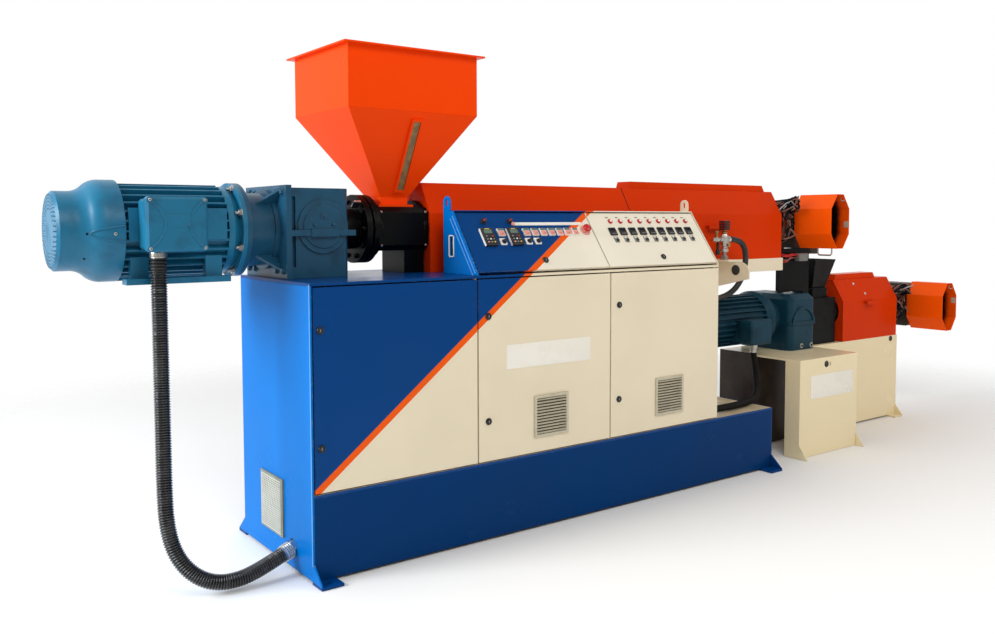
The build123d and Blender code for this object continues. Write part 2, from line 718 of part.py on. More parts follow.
fin_root = 164.0
fin_tip = 194.0
fin_count = 30
fin_thick = 8.0
fin_sink = 8.0
shield_radius = 188.0
shield_waist = 168.0
shield_rim = 26.0
foot_drop = 215.0
foot_span = 318.0
foot_wide = 70.0
foot_thick = 24.0
foot_web = 110.0
web_length = 70.0
web_pitch = 300.0
web_root = 124.0
web_inner = min(web_root, (foot_span - foot_wide) / 2)
boss_face = -46.0
boss_tall = 130.0
box_in = 162.0
box_rise = 27.0
box_x = frame_left + box_in
box_z = axis_z + box_rise
frame_mid = (frame_left + shield_left) / 2
with BuildPart() as motor_frame:
    with BuildSketch(Plane.YZ.offset(frame_left)):
        with Locations((axis_y, axis_z)):
            Circle(fin_root)
            with PolarLocations((fin_root + fin_tip - fin_sink) / 2, fin_count):
                Rectangle(fin_tip - fin_root + fin_sink, fin_thick)
    extrude(amount=frame_length)
    with BuildSketch(Plane.XY.offset(axis_z - foot_drop)):
        with Locations((frame_mid, axis_y)):
            with GridLocations(0, foot_span, 1, 2):
                Rectangle(frame_length, foot_wide)
    extrude(amount=foot_thick)
    with BuildSketch(Plane.XY.offset(axis_z - foot_drop)):
        with Locations((frame_mid, axis_y)):
            with GridLocations(web_pitch, foot_span / 2 + web_inner, 2, 2):
                Rectangle(web_length, foot_span / 2 - web_inner)
    extrude(amount=foot_web)
    with BuildSketch(Plane.XZ.offset(-boss_face)):
        with Locations((frame_mid, box_z)):
            Rectangle(frame_length - shield_rim, boss_tall)
    extrude(amount=-foot_web)
    with BuildSketch(Plane.XZ.offset(-axis_y)):
        with BuildLine():
            Polyline(
                (flange_face, axis_z), (flange_face, axis_z + motor_flange_radius),
                (flange_face - motor_flange, axis_z + motor_flange_radius),
                (flange_face - motor_flange, axis_z + shield_waist), (shield_left + shield_rim, axis_z + shield_radius),
                (shield_left, axis_z + shield_radius), (shield_left, axis_z), close=True)
        make_face()
    revolve(axis=main_axis)
motor_frame.part.label = "motor_frame"
export_step(motor_frame.part, "parts/motor_frame.step")

# Fan cowl: a flat end disc, then a wall that swells in an S-curve up to the frame
cowl_end_radius = 160.0
cowl_radius = 208.0
cowl_flat = 65.0
cowl_swell = 115.0
cowl_edge = 12.0
swell_mid = (cowl_left + cowl_flat + cowl_swell / 2, axis_z + (cowl_end_radius + cowl_radius) / 2)
with BuildPart() as motor_cowl:
    with BuildSketch(Plane.XZ.offset(-axis_y)):
        with BuildLine():
            Polyline(
                (cowl_left + cowl_flat, axis_z + cowl_end_radius), (cowl_left + cowl_edge, axis_z + cowl_end_radius),
                (cowl_left, axis_z + cowl_end_radius - cowl_edge), (cowl_left, axis_z), (frame_left, axis_z),
                (frame_left, axis_z + cowl_radius), (cowl_left + cowl_flat + cowl_swell, axis_z + cowl_radius))
            TangentArc((cowl_left + cowl_flat, axis_z + cowl_end_radius), swell_mid, tangent=(1, 0))
            TangentArc((cowl_left + cowl_flat + cowl_swell, axis_z + cowl_radius), swell_mid, tangent=(-1, 0))
        make_face()
    revolve(axis=main_axis)
motor_cowl.part.label = "motor_cowl"
export_step(motor_cowl.part, "parts/motor_cowl.step")

box_wide = 222.0
box_tall = 200.0
box_deep = 99.0
box_lid = 40.0
box_lip = 8.0
box_edge = 10.0
box_front = boss_face - box_deep - box_lid
with BuildPart() as terminal_box:
    with BuildSketch(Plane.XZ.offset(-boss_face)):
        with Locations((box_x, box_z)):
            Rectangle(box_wide, box_tall)
    extrude(amount=box_deep)
    with BuildSketch(Plane.XZ.offset(-boss_face + box_deep)):
        with Locations((box_x, box_z)):
            Rectangle(box_wide + 2 * box_lip, box_tall + 2 * box_lip)
    extrude(amount=box_lid)
    chamfer(terminal_box.edges().filter_by(Axis.Y), box_edge)
    chamfer(terminal_box.faces().sort_by(Axis.Y)[0].edges(), box_edge)
terminal_box.part.label = "terminal_box"
export_step(terminal_box.part, "parts/terminal_box.step")

# Output coupling: a hub and two flange rings with a groove between them
hub_radius = 96.0
ring_radius = 164.0
ring_groove = 12.0
groove_radius = 136.0
ring_width = (coupling_length - ring_groove) / 2
with BuildPart() as coupling:
    with BuildSketch(Plane.XZ.offset(-axis_y)):
        with BuildLine():
            Polyline(
                (gear_right, axis_z), (gear_right, axis_z + hub_radius), (coupling_left, axis_z + hub_radius),
                (coupling_left, axis_z + ring_radius), (coupling_left + ring_width, axis_z + ring_radius),
                (coupling_left + ring_width, axis_z + groove_radius),
                (throat_left - ring_width, axis_z + groove_radius),
                (throat_left - ring_width, axis_z + ring_radius), (throat_left, axis_z + ring_radius),
                (throat_left, axis_z), close=True)
        make_face()
    revolve(axis=main_axis)
coupling.part.label = "coupling"
export_step(coupling.part, "parts/coupling.step")

# Black feed throat: a block between two round flanges on one leg, with a square inlet on top
throat_wide = 270.0
throat_tall = 210.0
throat_edge = 26.0
throat_flange_radius = 140.0
throat_flange = 26.0
inlet_side = 130.0
inlet_depth = 100.0
plate_side = 190.0
plate_thick = 22.0
leg_length = 110.0
leg_wide = 220.0
leg_inset = 70.0
throat_top = axis_z + throat_tall / 2
with BuildPart() as feed_throat:
    with BuildSketch(Plane.YZ.offset(throat_left)):
        with Locations((axis_y, axis_z)):
            Rectangle(throat_wide, throat_tall)
    extrude(amount=throat_length)
    chamfer(feed_throat.edges().filter_by(Axis.X), throat_edge)
    with BuildSketch(Plane.YZ.offset(throat_left)):
        with Locations((axis_y, axis_z)):
            Circle(throat_flange_radius)
    extrude(amount=throat_flange)
    with BuildSketch(Plane.YZ.offset(throat_right - throat_flange)):
        with Locations((axis_y, axis_z)):
            Circle(throat_flange_radius)
    extrude(amount=throat_flange)
    with BuildSketch(Plane.XY.offset(throat_top - plate_thick)):
        with Locations((hopper_x, axis_y)):
            Rectangle(plate_side, plate_side)
    extrude(amount=plate_thick)
    with BuildSketch(Plane.XY.offset(bed_top)):
        with Locations((throat_right - leg_inset, axis_y)):
            Rectangle(leg_length, leg_wide)
    extrude(amount=axis_rise - throat_tall / 2 + throat_edge)
    with BuildSketch(Plane.XY.offset(throat_top)):
        with Locations((hopper_x, axis_y)):
            Rectangle(inlet_side, inlet_side)
    extrude(amount=-inlet_depth, mode=Mode.SUBTRACT)
feed_throat.part.label = "feed_throat"
export_step(feed_throat.part, "parts/feed_throat.step")

# Hopper: an upright bin with an outward lip over a four-sided cone and a square neck
hopper_wide = 692.0
hopper_deep = 570.0
hopper_lip = 30.0
hopper_lip_thick = 8.0
hopper_neck = 148.0
hopper_sheet = 4.0
hopper_flange = 12.0
neck_height = 35.0
cone_height = 393.0
bin_height = 287.0
neck_bottom = throat_top + hopper_flange
neck_top = neck_bottom + neck_height
hopper_fold = neck_top + cone_height
hopper_rim = hopper_fold + bin_height
with BuildPart() as hopper_bin:
    with BuildSketch(Plane.XY.offset(hopper_fold)):
        with Locations((hopper_x, axis_y)):
            Rectangle(hopper_wide, hopper_deep)
            Rectangle(hopper_wide - 2 * hopper_sheet, hopper_deep - 2 * hopper_sheet, mode=Mode.SUBTRACT)
    extrude(amount=bin_height)
    with BuildSketch(Plane.XY.offset(hopper_rim - hopper_lip_thick)):
        with Locations((hopper_x, axis_y)):
            Rectangle(hopper_wide + 2 * hopper_lip, hopper_deep + 2 * hopper_lip)
            Rectangle(hopper_wide - 2 * hopper_sheet, hopper_deep - 2 * hopper_sheet, mode=Mode.SUBTRACT)
    extrude(amount=hopper_lip_thick)
hopper_bin.part.label = "hopper_bin"
export_step(hopper_bin.part, "parts/hopper_bin.step")

cone_wall = 2 * hopper_sheet
with BuildPart() as cone_hollow:
    with BuildSketch(Plane.XZ.offset(-axis_y)):
        with BuildLine():
            Polyline(
                (hopper_x - hopper_wide / 2 + cone_wall, hopper_fold),
                (hopper_x + hopper_wide / 2 - cone_wall, hopper_fold),
                (hopper_x + inlet_side / 2, neck_top), (hopper_x - inlet_side / 2, neck_top), close=True)
        make_face()
    extrude(amount=hopper_deep, both=True)
    with BuildSketch(Plane.YZ.offset(hopper_x)):
        with BuildLine():
            Polyline(
                (axis_y - hopper_deep / 2 + cone_wall, hopper_fold),
                (axis_y + hopper_deep / 2 - cone_wall, hopper_fold),
                (axis_y + inlet_side / 2, neck_top), (axis_y - inlet_side / 2, neck_top), close=True)
        make_face()
    extrude(amount=hopper_wide, both=True, mode=Mode.INTERSECT)

with BuildPart() as hopper_cone:
    with BuildSketch(Plane.XZ.offset(-axis_y)):
        with BuildLine():
            Polyline(
                (hopper_x - hopper_wide / 2, hopper_fold), (hopper_x + hopper_wide / 2, hopper_fold),
                (hopper_x + hopper_neck / 2, neck_top), (hopper_x - hopper_neck / 2, neck_top), close=True)
        make_face()
    extrude(amount=hopper_deep, both=True)
    with BuildSketch(Plane.YZ.offset(hopper_x)):
        with BuildLine():
            Polyline(
                (axis_y - hopper_deep / 2, hopper_fold), (axis_y + hopper_deep / 2, hopper_fold),
                (axis_y + hopper_neck / 2, neck_top), (axis_y - hopper_neck / 2, neck_top), close=True)
        make_face()
    extrude(amount=hopper_wide, both=True, mode=Mode.INTERSECT)
    with BuildSketch(Plane.XY.offset(neck_bottom)):
        with Locations((hopper_x, axis_y)):
            Rectangle(hopper_neck, hopper_neck)
    extrude(amount=neck_height)
    with BuildSketch(Plane.XY.offset(throat_top)):
        with Locations((hopper_x, axis_y)):
            Rectangle(plate_side, plate_side)
    extrude(amount=hopper_flange)
    add(cone_hollow.part, mode=Mode.SUBTRACT)
    with BuildSketch(Plane.XY.offset(throat_top)):
        with Locations((hopper_x, axis_y)):
            Rectangle(inlet_side, inlet_side)
    extrude(amount=neck_top - throat_top, mode=Mode.SUBTRACT)
hopper_cone.part.label = "hopper_cone"
export_step(hopper_cone.part, "parts/hopper_cone.step")

# Sight glass: a framed strip down the front face of the cone
cone_run = (hopper_deep - hopper_neck) / 2
cone_tilt = math.atan2(cone_run, cone_height)
sight_drop = 225.0
sight_shift = 17.0
sight_wide = 62.0
sight_tall = 380.0
sight_thick = 14.0
sight_rim = 12.0
sight_pocket = 8.0
sight_normal = (0, -math.cos(cone_tilt), -math.sin(cone_tilt))
cone_plane = Plane(
    origin=(hopper_x, axis_y - hopper_deep / 2, hopper_fold), x_dir=(1, 0, 0), z_dir=sight_normal)
with BuildPart() as sight_glass:
    with BuildSketch(cone_plane):
        with Locations((sight_shift, -sight_drop)):
            Rectangle(sight_wide, sight_tall)
    extrude(amount=sight_thick)
    with BuildSketch(cone_plane.offset(sight_thick)):
        with Locations((sight_shift, -sight_drop)):
            Rectangle(sight_wide - 2 * sight_rim, sight_tall - 2 * sight_rim)
    extrude(amount=-sight_pocket, mode=Mode.SUBTRACT)
sight_glass.part.label = "sight_glass"
export_step(sight_glass.part, "parts/sight_glass.step")

# Barrels and heater bands
with BuildPart() as barrels:
    with BuildSketch(Plane.YZ.offset(throat_right)):
        with Locations((axis_y, axis_z)):
            Circle(barrel_radius)
    extrude(amount=barrel_end - throat_right)
    with BuildSketch(Plane.YZ.offset(barrel_two_start)):
        with Locations((axis_y, axis_z_two)):
            Circle(barrel_radius)
    extrude(amount=barrel_two_end - barrel_two_start)
barrels.part.label = "barrels"
export_step(barrels.part, "parts/barrels.step")

band_width = 150.0
band_pitch = 310.0
band_inset = 90.0
band_count = 7
band_two_count = 3
band_thick = band_radius - barrel_radius - seat
band_mid = (barrel_radius + band_radius + seat) / 2
with BuildPart() as heater_bands:
    with BuildSketch(Plane.XZ.offset(-axis_y)):
        with Locations((barrel_end - band_inset - band_pitch * (band_count - 1) / 2, axis_z + band_mid)):
            with GridLocations(band_pitch, 0, band_count, 1):
                Rectangle(band_width, band_thick)
    revolve(axis=main_axis)
    with BuildSketch(Plane.XZ.offset(-axis_y)):
        with Locations(
                (barrel_two_end - band_inset - band_pitch * (band_two_count - 1) / 2, axis_z_two + band_mid)):
            with GridLocations(band_pitch, 0, band_two_count, 1):
                Rectangle(band_width, band_thick)
    revolve(axis=Axis((0, axis_y, axis_z_two), (1, 0, 0)))
heater_bands.part.label = "heater_bands"
export_step(heater_bands.part, "parts/heater_bands.step")

# Barrel covers: folded sheet hoods open below, the first one with an inward flange at the throat
with BuildPart() as cover_feed_side:
    with BuildSketch(Plane.YZ.offset(cover_left)):
        with BuildLine():
            Polyline(
                (axis_y - cover_half, bed_top), (axis_y - cover_half, bed_top + cover_fold),
                (axis_y - cover_top_half, bed_top + cover_height), (axis_y + cover_top_half, bed_top + cover_height),
                (axis_y + cover_half, bed_top + cover_fold), (axis_y + cover_half, bed_top), close=True)
        make_face()
        offset(amount=-cover_sheet, mode=Mode.SUBTRACT)
        with Locations((axis_y, bed_top)):
            Rectangle(2 * (cover_half - cover_sheet), 4 * cover_sheet, mode=Mode.SUBTRACT)
    extrude(amount=cover_seam - cover_left - cover_joint)
    with BuildSketch(Plane.YZ.offset(cover_left)):
        with BuildLine():
            Polyline(
                (axis_y - cover_half, bed_top), (axis_y - cover_half, bed_top + cover_fold),
                (axis_y - cover_top_half, bed_top + cover_height), (axis_y + cover_top_half, bed_top + cover_height),
                (axis_y + cover_half, bed_top + cover_fold), (axis_y + cover_half, bed_top), close=True)
        make_face()
        offset(amount=-cover_lip, mode=Mode.SUBTRACT)
        with Locations((axis_y, bed_top)):
            Rectangle(2 * (cover_half - cover_lip), 4 * cover_lip, mode=Mode.SUBTRACT)
    extrude(amount=cover_sheet)
cover_feed_side.part.label = "cover_feed_side"
export_step(cover_feed_side.part, "parts/cover_feed_side.step")

with BuildPart() as cover_head_side:
    with BuildSketch(Plane.YZ.offset(cover_seam)):
        with BuildLine():
            Polyline(
                (axis_y - cover_half, bed_top), (axis_y - cover_half, bed_top + cover_fold),
                (axis_y - cover_top_half, bed_top + cover_height), (axis_y + cover_top_half, bed_top + cover_height),
                (axis_y + cover_half, bed_top + cover_fold), (axis_y + cover_half, bed_top), close=True)
        make_face()
        offset(amount=-cover_sheet, mode=Mode.SUBTRACT)
        with Locations((axis_y, bed_top)):
            Rectangle(2 * (cover_half - cover_sheet), 4 * cover_sheet, mode=Mode.SUBTRACT)
    extrude(amount=cover_right - cover_seam)
cover_head_side.part.label = "cover_head_side"
export_step(cover_head_side.part, "parts/cover_head_side.step")

# Raised caps along the top of the covers
cap_height = 40.0
cap_half = 54.0
cap_lead = 70.0
cap_tail = 65.0
cap_two_lead = 30.0
cap_two_tail = 150.0
cap_slope_left = 14.0
cap_slope_right = 26.0
cap_left = cover_seam + cap_lead
cap_right = cover_right - cap_tail
cap_two_left = cover_two_left + cap_two_lead
cap_two_right = cover_two_right - cap_two_tail
cap_base = bed_top + cover_height
cap_two_base = stage_two_deck + cover_height
with BuildPart() as cover_caps:
    with BuildSketch(Plane.XZ.offset(-(axis_y - cap_half))):
        with BuildLine():
            Polyline(
                (cap_left, cap_base), (cap_left + cap_slope_left, cap_base + cap_height),
                (cap_right - cap_slope_right, cap_base + cap_height), (cap_right, cap_base), close=True)
        make_face()
    extrude(amount=-2 * cap_half)
    with BuildSketch(Plane.XZ.offset(-(axis_y - cap_half))):
        with BuildLine():
            Polyline(
                (cap_two_left, cap_two_base), (cap_two_left + cap_slope_left, cap_two_base + cap_height),
                (cap_two_right - cap_slope_right, cap_two_base + cap_height), (cap_two_right, cap_two_base),
                close=True)
        make_face()
    extrude(amount=-2 * cap_half)
cover_caps.part.label = "cover_caps"
export_step(cover_caps.part, "parts/cover_caps.step")

# Cover of the second stage
with BuildPart() as second_cover:
    with BuildSketch(Plane.YZ.offset(cover_two_left)):
        with BuildLine():
            Polyline(
                (axis_y - cover_half, stage_two_deck), (axis_y - cover_half, stage_two_deck + cover_fold),
                (axis_y - cover_top_half, stage_two_deck + cover_height),
                (axis_y + cover_top_half, stage_two_deck + cover_height),
                (axis_y + cover_half, stage_two_deck + cover_fold), (axis_y + cover_half, stage_two_deck),
                close=True)
        make_face()
        offset(amount=-cover_sheet, mode=Mode.SUBTRACT)
        with Locations((axis_y, stage_two_deck)):
            Rectangle(2 * (cover_half - cover_sheet), 4 * cover_sheet, mode=Mode.SUBTRACT)
    extrude(amount=cover_two_length)
second_cover.part.label = "second_cover"
export_step(second_cover.part, "parts/second_cover.step")

# Rail that carries the first barrel past the cabinet
rail_height = 84.0
with BuildPart() as rail:
    with BuildSketch(Plane.YZ.offset(cabinet_right)):
        with Locations((axis_y, bed_top - rail_height / 2)):
            Rectangle(2 * cover_half, rail_height)
            Rectangle(2 * cover_half - 2 * sheet, rail_height - 2 * sheet, mode=Mode.SUBTRACT)
    extrude(amount=rail_right - cabinet_right)
rail.part.label = "rail"
export_step(rail.part, "parts/rail.step")

# Screen changers: a steel block with a die towards the operator at each barrel end, the second one with
# an outlet flange
block_front = 30.0
block_back = 290.0
block_tall = 330.0
block_lift = 10.0
block_edge = 14.0
block_mid_y = (block_front + block_back) / 2
outlet_radius = 110.0
outlet_bore = 56.0
outlet_bolt = 14.0
outlet_circle = 172.0
outlet_count = 8
guard_lift = 27.0
guard_front = block_front - guard_length
guard_one_x = block_one_left + block_width / 2
guard_two_x = block_two_left + block_width / 2
guard_one_z = axis_z + guard_lift
guard_two_z = axis_z_two
half_w = guard_width / 2
half_h = guard_height / 2
die_gap = 18.0
die_reach = 152.0
with BuildPart() as screen_changers:
    with BuildSketch(Plane.YZ.offset(block_one_left)):
        with Locations((block_mid_y, axis_z + block_lift)):
            Rectangle(block_back - block_front, block_tall)
    extrude(amount=block_width)
    with BuildSketch(Plane.YZ.offset(block_two_left)):
        with Locations((block_mid_y, axis_z_two)):
            Rectangle(block_back - block_front, block_tall)
    extrude(amount=block_width)
    chamfer(screen_changers.edges().filter_by(Axis.X), block_edge)
    for die_x, die_z in ((guard_one_x, guard_one_z), (guard_two_x, guard_two_z)):
        with BuildSketch(Plane(origin=(die_x, block_front, die_z), x_dir=(1, 0, 0), z_dir=(0, -1, 0))):
            with BuildLine():
                Polyline(
                    (half_w - guard_cut, half_h), (half_w, half_h - guard_rise), (half_w, guard_rise - half_h),
                    (half_w - guard_cut, -half_h), (guard_cut - half_w, -half_h), (-half_w, guard_rise - half_h),
                    (-half_w, half_h - guard_rise), (guard_cut - half_w, half_h), close=True)
            make_face()
            offset(amount=-die_gap)
        extrude(amount=die_reach)
    with BuildSketch(Plane.YZ.offset(block_two_left + block_width)):
        with Locations((axis_y, axis_z_two)):
            Circle(outlet_radius)
            Circle(outlet_bore / 2, mode=Mode.SUBTRACT)
            with PolarLocations(outlet_circle / 2, outlet_count):
                Circle(outlet_bolt / 2, mode=Mode.SUBTRACT)
    extrude(amount=outlet_thick)
screen_changers.part.label = "screen_changers"
export_step(screen_changers.part, "parts/screen_changers.step")

# Black posts and a web that stand on the second base and carry the first screen changer
post_gap = 10.0
post_deep = 26.0
post_left = gear_two_right + post_gap
web_left = rail_right + 2 * post_gap
web_thick = 12.0
web_bottom = stage_two_deck + gear_two_height + post_gap
web_front = block_front + block_edge
post_top = axis_z + block_lift - block_tall / 2
with BuildPart() as head_support:
    with BuildSketch(Plane.XY.offset(stage_two_deck)):
        with Locations(((post_left + head_right) / 2, block_mid_y)):
            with GridLocations(0, block_back - block_front - 2 * block_edge - post_deep, 1, 2):
                Rectangle(head_right - post_left, post_deep)
    extrude(amount=post_top - stage_two_deck)
    with BuildSketch(Plane.XZ.offset(-web_front)):
        with Locations(((web_left + head_right) / 2, (web_bottom + post_top) / 2)):
            Rectangle(head_right - web_left, post_top - web_bottom)
    extrude(amount=-web_thick)
head_support.part.label = "head_support"
export_step(head_support.part, "parts/head_support.step")

# Octagonal guards: tubes along Y in front of the screen changers, open towards the operator
with BuildPart() as guard_one:
    with BuildSketch(Plane(origin=(guard_one_x, guard_front, guard_one_z), x_dir=(1, 0, 0), z_dir=(0, -1, 0))):
        with BuildLine():
            Polyline(
                (half_w - guard_cut, half_h), (half_w, half_h - guard_rise), (half_w, guard_rise - half_h),
                (half_w - guard_cut, -half_h), (guard_cut - half_w, -half_h), (-half_w, guard_rise - half_h),
                (-half_w, half_h - guard_rise), (guard_cut - half_w, half_h), close=True)
        make_face()
        offset(amount=-guard_sheet, mode=Mode.SUBTRACT)
    extrude(amount=-guard_length)
guard_one.part.label = "guard_one"
export_step(guard_one.part, "parts/guard_one.step")

with BuildPart() as guard_two:
    with BuildSketch(Plane(origin=(guard_two_x, guard_front, guard_two_z), x_dir=(1, 0, 0), z_dir=(0, -1, 0))):
        with BuildLine():
            Polyline(
                (half_w - guard_cut, half_h), (half_w, half_h - guard_rise), (half_w, guard_rise - half_h),
                (half_w - guard_cut, -half_h), (guard_cut - half_w, -half_h), (-half_w, guard_rise - half_h),
                (-half_w, half_h - guard_rise), (guard_cut - half_w, half_h), close=True)
        make_face()
        offset(amount=-guard_sheet, mode=Mode.SUBTRACT)
    extrude(amount=-guard_length)
guard_two.part.label = "guard_two"
export_step(guard_two.part, "parts/guard_two.step")

# Pulls: folded lips on the cover fronts, and a rod under the first guard
pull_lead = 640.0
pull_length = 170.0
pull_rise = 220.0
pull_two_lead = 260.0
pull_two_length = 110.0
pull_two_rise = 282.0
pull_reach = 34.0
pull_fold = 24.0
pull_sheet = 5.0
cover_front = axis_y - cover_half
pull_left = cover_seam + pull_lead
pull_two_left = cover_two_left + pull_two_lead
with BuildPart() as handles:
    with BuildSketch(Plane.YZ.offset(pull_left)):
        with BuildLine():
            Polyline(
                (cover_front, bed_top + pull_rise), (cover_front - pull_reach, bed_top + pull_rise),
                (cover_front - pull_reach, bed_top + pull_rise - pull_fold),
                (cover_front - pull_reach + pull_sheet, bed_top + pull_rise - pull_fold),
                (cover_front - pull_reach + pull_sheet, bed_top + pull_rise - pull_sheet),
                (cover_front, bed_top + pull_rise - pull_sheet), close=True)
        make_face()
    extrude(amount=pull_length)
    with BuildSketch(Plane.YZ.offset(pull_two_left)):
        with BuildLine():
            Polyline(
                (cover_front, stage_two_deck + pull_two_rise),
                (cover_front - pull_reach, stage_two_deck + pull_two_rise),
                (cover_front - pull_reach, stage_two_deck + pull_two_rise - pull_fold),
                (cover_front - pull_reach + pull_sheet, stage_two_deck + pull_two_rise - pull_fold),
                (cover_front - pull_reach + pull_sheet, stage_two_deck + pull_two_rise - pull_sheet),
                (cover_front, stage_two_deck + pull_two_rise - pull_sheet), close=True)
        make_face()
    extrude(amount=pull_two_length)
handles.part.label = "handles"
export_step(handles.part, "parts/handles.step")

rod_radius = 5.0
rod_lead = 60.0
rod_span = 106.0
rod_drop = 46.0
rod_bend = 16.0
rod_top = guard_one_z - half_h
rod_front = guard_front + rod_lead
with BuildPart() as guard_handle:
    with BuildLine() as rod_path:
        FilletPolyline(
            (guard_one_x, rod_front, rod_top), (guard_one_x, rod_front, rod_top - rod_drop),
            (guard_one_x, rod_front + rod_span, rod_top - rod_drop), (guard_one_x, rod_front + rod_span, rod_top),
            radius=rod_bend)
    with BuildSketch(Plane(origin=(guard_one_x, rod_front, rod_top), z_dir=(0, 0, -1))):
        Circle(rod_radius)
    sweep(path=rod_path.line)
guard_handle.part.label = "guard_handle"
export_step(guard_handle.part, "parts/guard_handle.step")

# Melt passes from the first head down a spout into the open funnel of the second stage
funnel_drop = 243.0
funnel_height = 202.0
spout_gap = 40.0
head_side = 170.0
head_edge = 18.0
head_overrun = 70.0
spout_radius = 52.0
funnel_top = axis_z - funnel_drop
funnel_bottom = funnel_top - funnel_height
spout_bottom = funnel_top + spout_gap
with BuildPart() as transfer_head:
    with BuildSketch(Plane.YZ.offset(head_right)):
        with Locations((axis_y, axis_z)):
            Rectangle(head_side, head_side)
    extrude(amount=spout_reach + head_overrun)
    chamfer(transfer_head.edges().filter_by(Axis.X), head_edge)
    with BuildSketch(Plane.XY.offset(spout_bottom)):
        with Locations((funnel_x, axis_y)):
            Circle(spout_radius)
    extrude(amount=axis_z - spout_bottom)
transfer_head.part.label = "transfer_head"
export_step(transfer_head.part, "parts/transfer_head.step")

funnel_wide = 240.0
funnel_deep = 260.0
funnel_neck = 150.0
funnel_sheet = 5.0
with BuildPart() as funnel_hollow:
    with BuildSketch(Plane.XZ.offset(-axis_y)):
        with BuildLine():
            Polyline(
                (funnel_x - funnel_wide / 2 + funnel_sheet, funnel_top),
                (funnel_x + funnel_wide / 2 - funnel_sheet, funnel_top),
                (funnel_x + funnel_neck / 2 - funnel_sheet, funnel_bottom),
                (funnel_x - funnel_neck / 2 + funnel_sheet, funnel_bottom), close=True)
        make_face()
    extrude(amount=funnel_deep, both=True)
    with BuildSketch(Plane.YZ.offset(funnel_x)):
        with BuildLine():
            Polyline(
                (axis_y - funnel_deep / 2 + funnel_sheet, funnel_top),
                (axis_y + funnel_deep / 2 - funnel_sheet, funnel_top),
                (axis_y + funnel_neck / 2 - funnel_sheet, funnel_bottom),
                (axis_y - funnel_neck / 2 + funnel_sheet, funnel_bottom), close=True)
        make_face()
    extrude(amount=funnel_wide, both=True, mode=Mode.INTERSECT)

with BuildPart() as funnel:
    with BuildSketch(Plane.XZ.offset(-axis_y)):
        with BuildLine():
            Polyline(
                (funnel_x - funnel_wide / 2, funnel_top), (funnel_x + funnel_wide / 2, funnel_top),
                (funnel_x + funnel_neck / 2, funnel_bottom), (funnel_x - funnel_neck / 2, funnel_bottom),
                close=True)
        make_face()
    extrude(amount=funnel_deep, both=True)
    with BuildSketch(Plane.YZ.offset(funnel_x)):
        with BuildLine():
            Polyline(
                (axis_y - funnel_deep / 2, funnel_top), (axis_y + funnel_deep / 2, funnel_top),
                (axis_y + funnel_neck / 2, funnel_bottom), (axis_y - funnel_neck / 2, funnel_bottom),
                close=True)
        make_face()
    extrude(amount=funnel_wide, both=True, mode=Mode.INTERSECT)
    add(funnel_hollow.part, mode=Mode.SUBTRACT)
funnel.part.label = "funnel"
export_step(funnel.part, "parts/funnel.step")

throat_two_wide = 230.0
throat_two_rise = 110.0
collar_wall = 10.0
pocket_depth = 150.0
throat_two_top = axis_z_two + throat_two_rise
with BuildPart() as second_throat:
    with BuildSketch(Plane.XY.offset(stage_two_deck)):
        with Locations(((throat_two_left + barrel_two_start) / 2, axis_y)):
            Rectangle(throat_two_length, throat_two_wide)
    extrude(amount=throat_two_top - stage_two_deck)
    with BuildSketch(Plane.XY.offset(throat_two_top)):
        with Locations((funnel_x, axis_y)):
            Rectangle(funnel_neck + 2 * collar_wall, funnel_neck + 2 * collar_wall)
    extrude(amount=funnel_bottom - throat_two_top)
    with BuildSketch(Plane.XY.offset(funnel_bottom)):
        with Locations((funnel_x, axis_y)):
            Rectangle(funnel_neck - 2 * funnel_sheet, funnel_neck - 2 * funnel_sheet)
    extrude(amount=-pocket_depth, mode=Mode.SUBTRACT)
second_throat.part.label = "second_throat"
export_step(second_throat.part, "parts/second_throat.step")

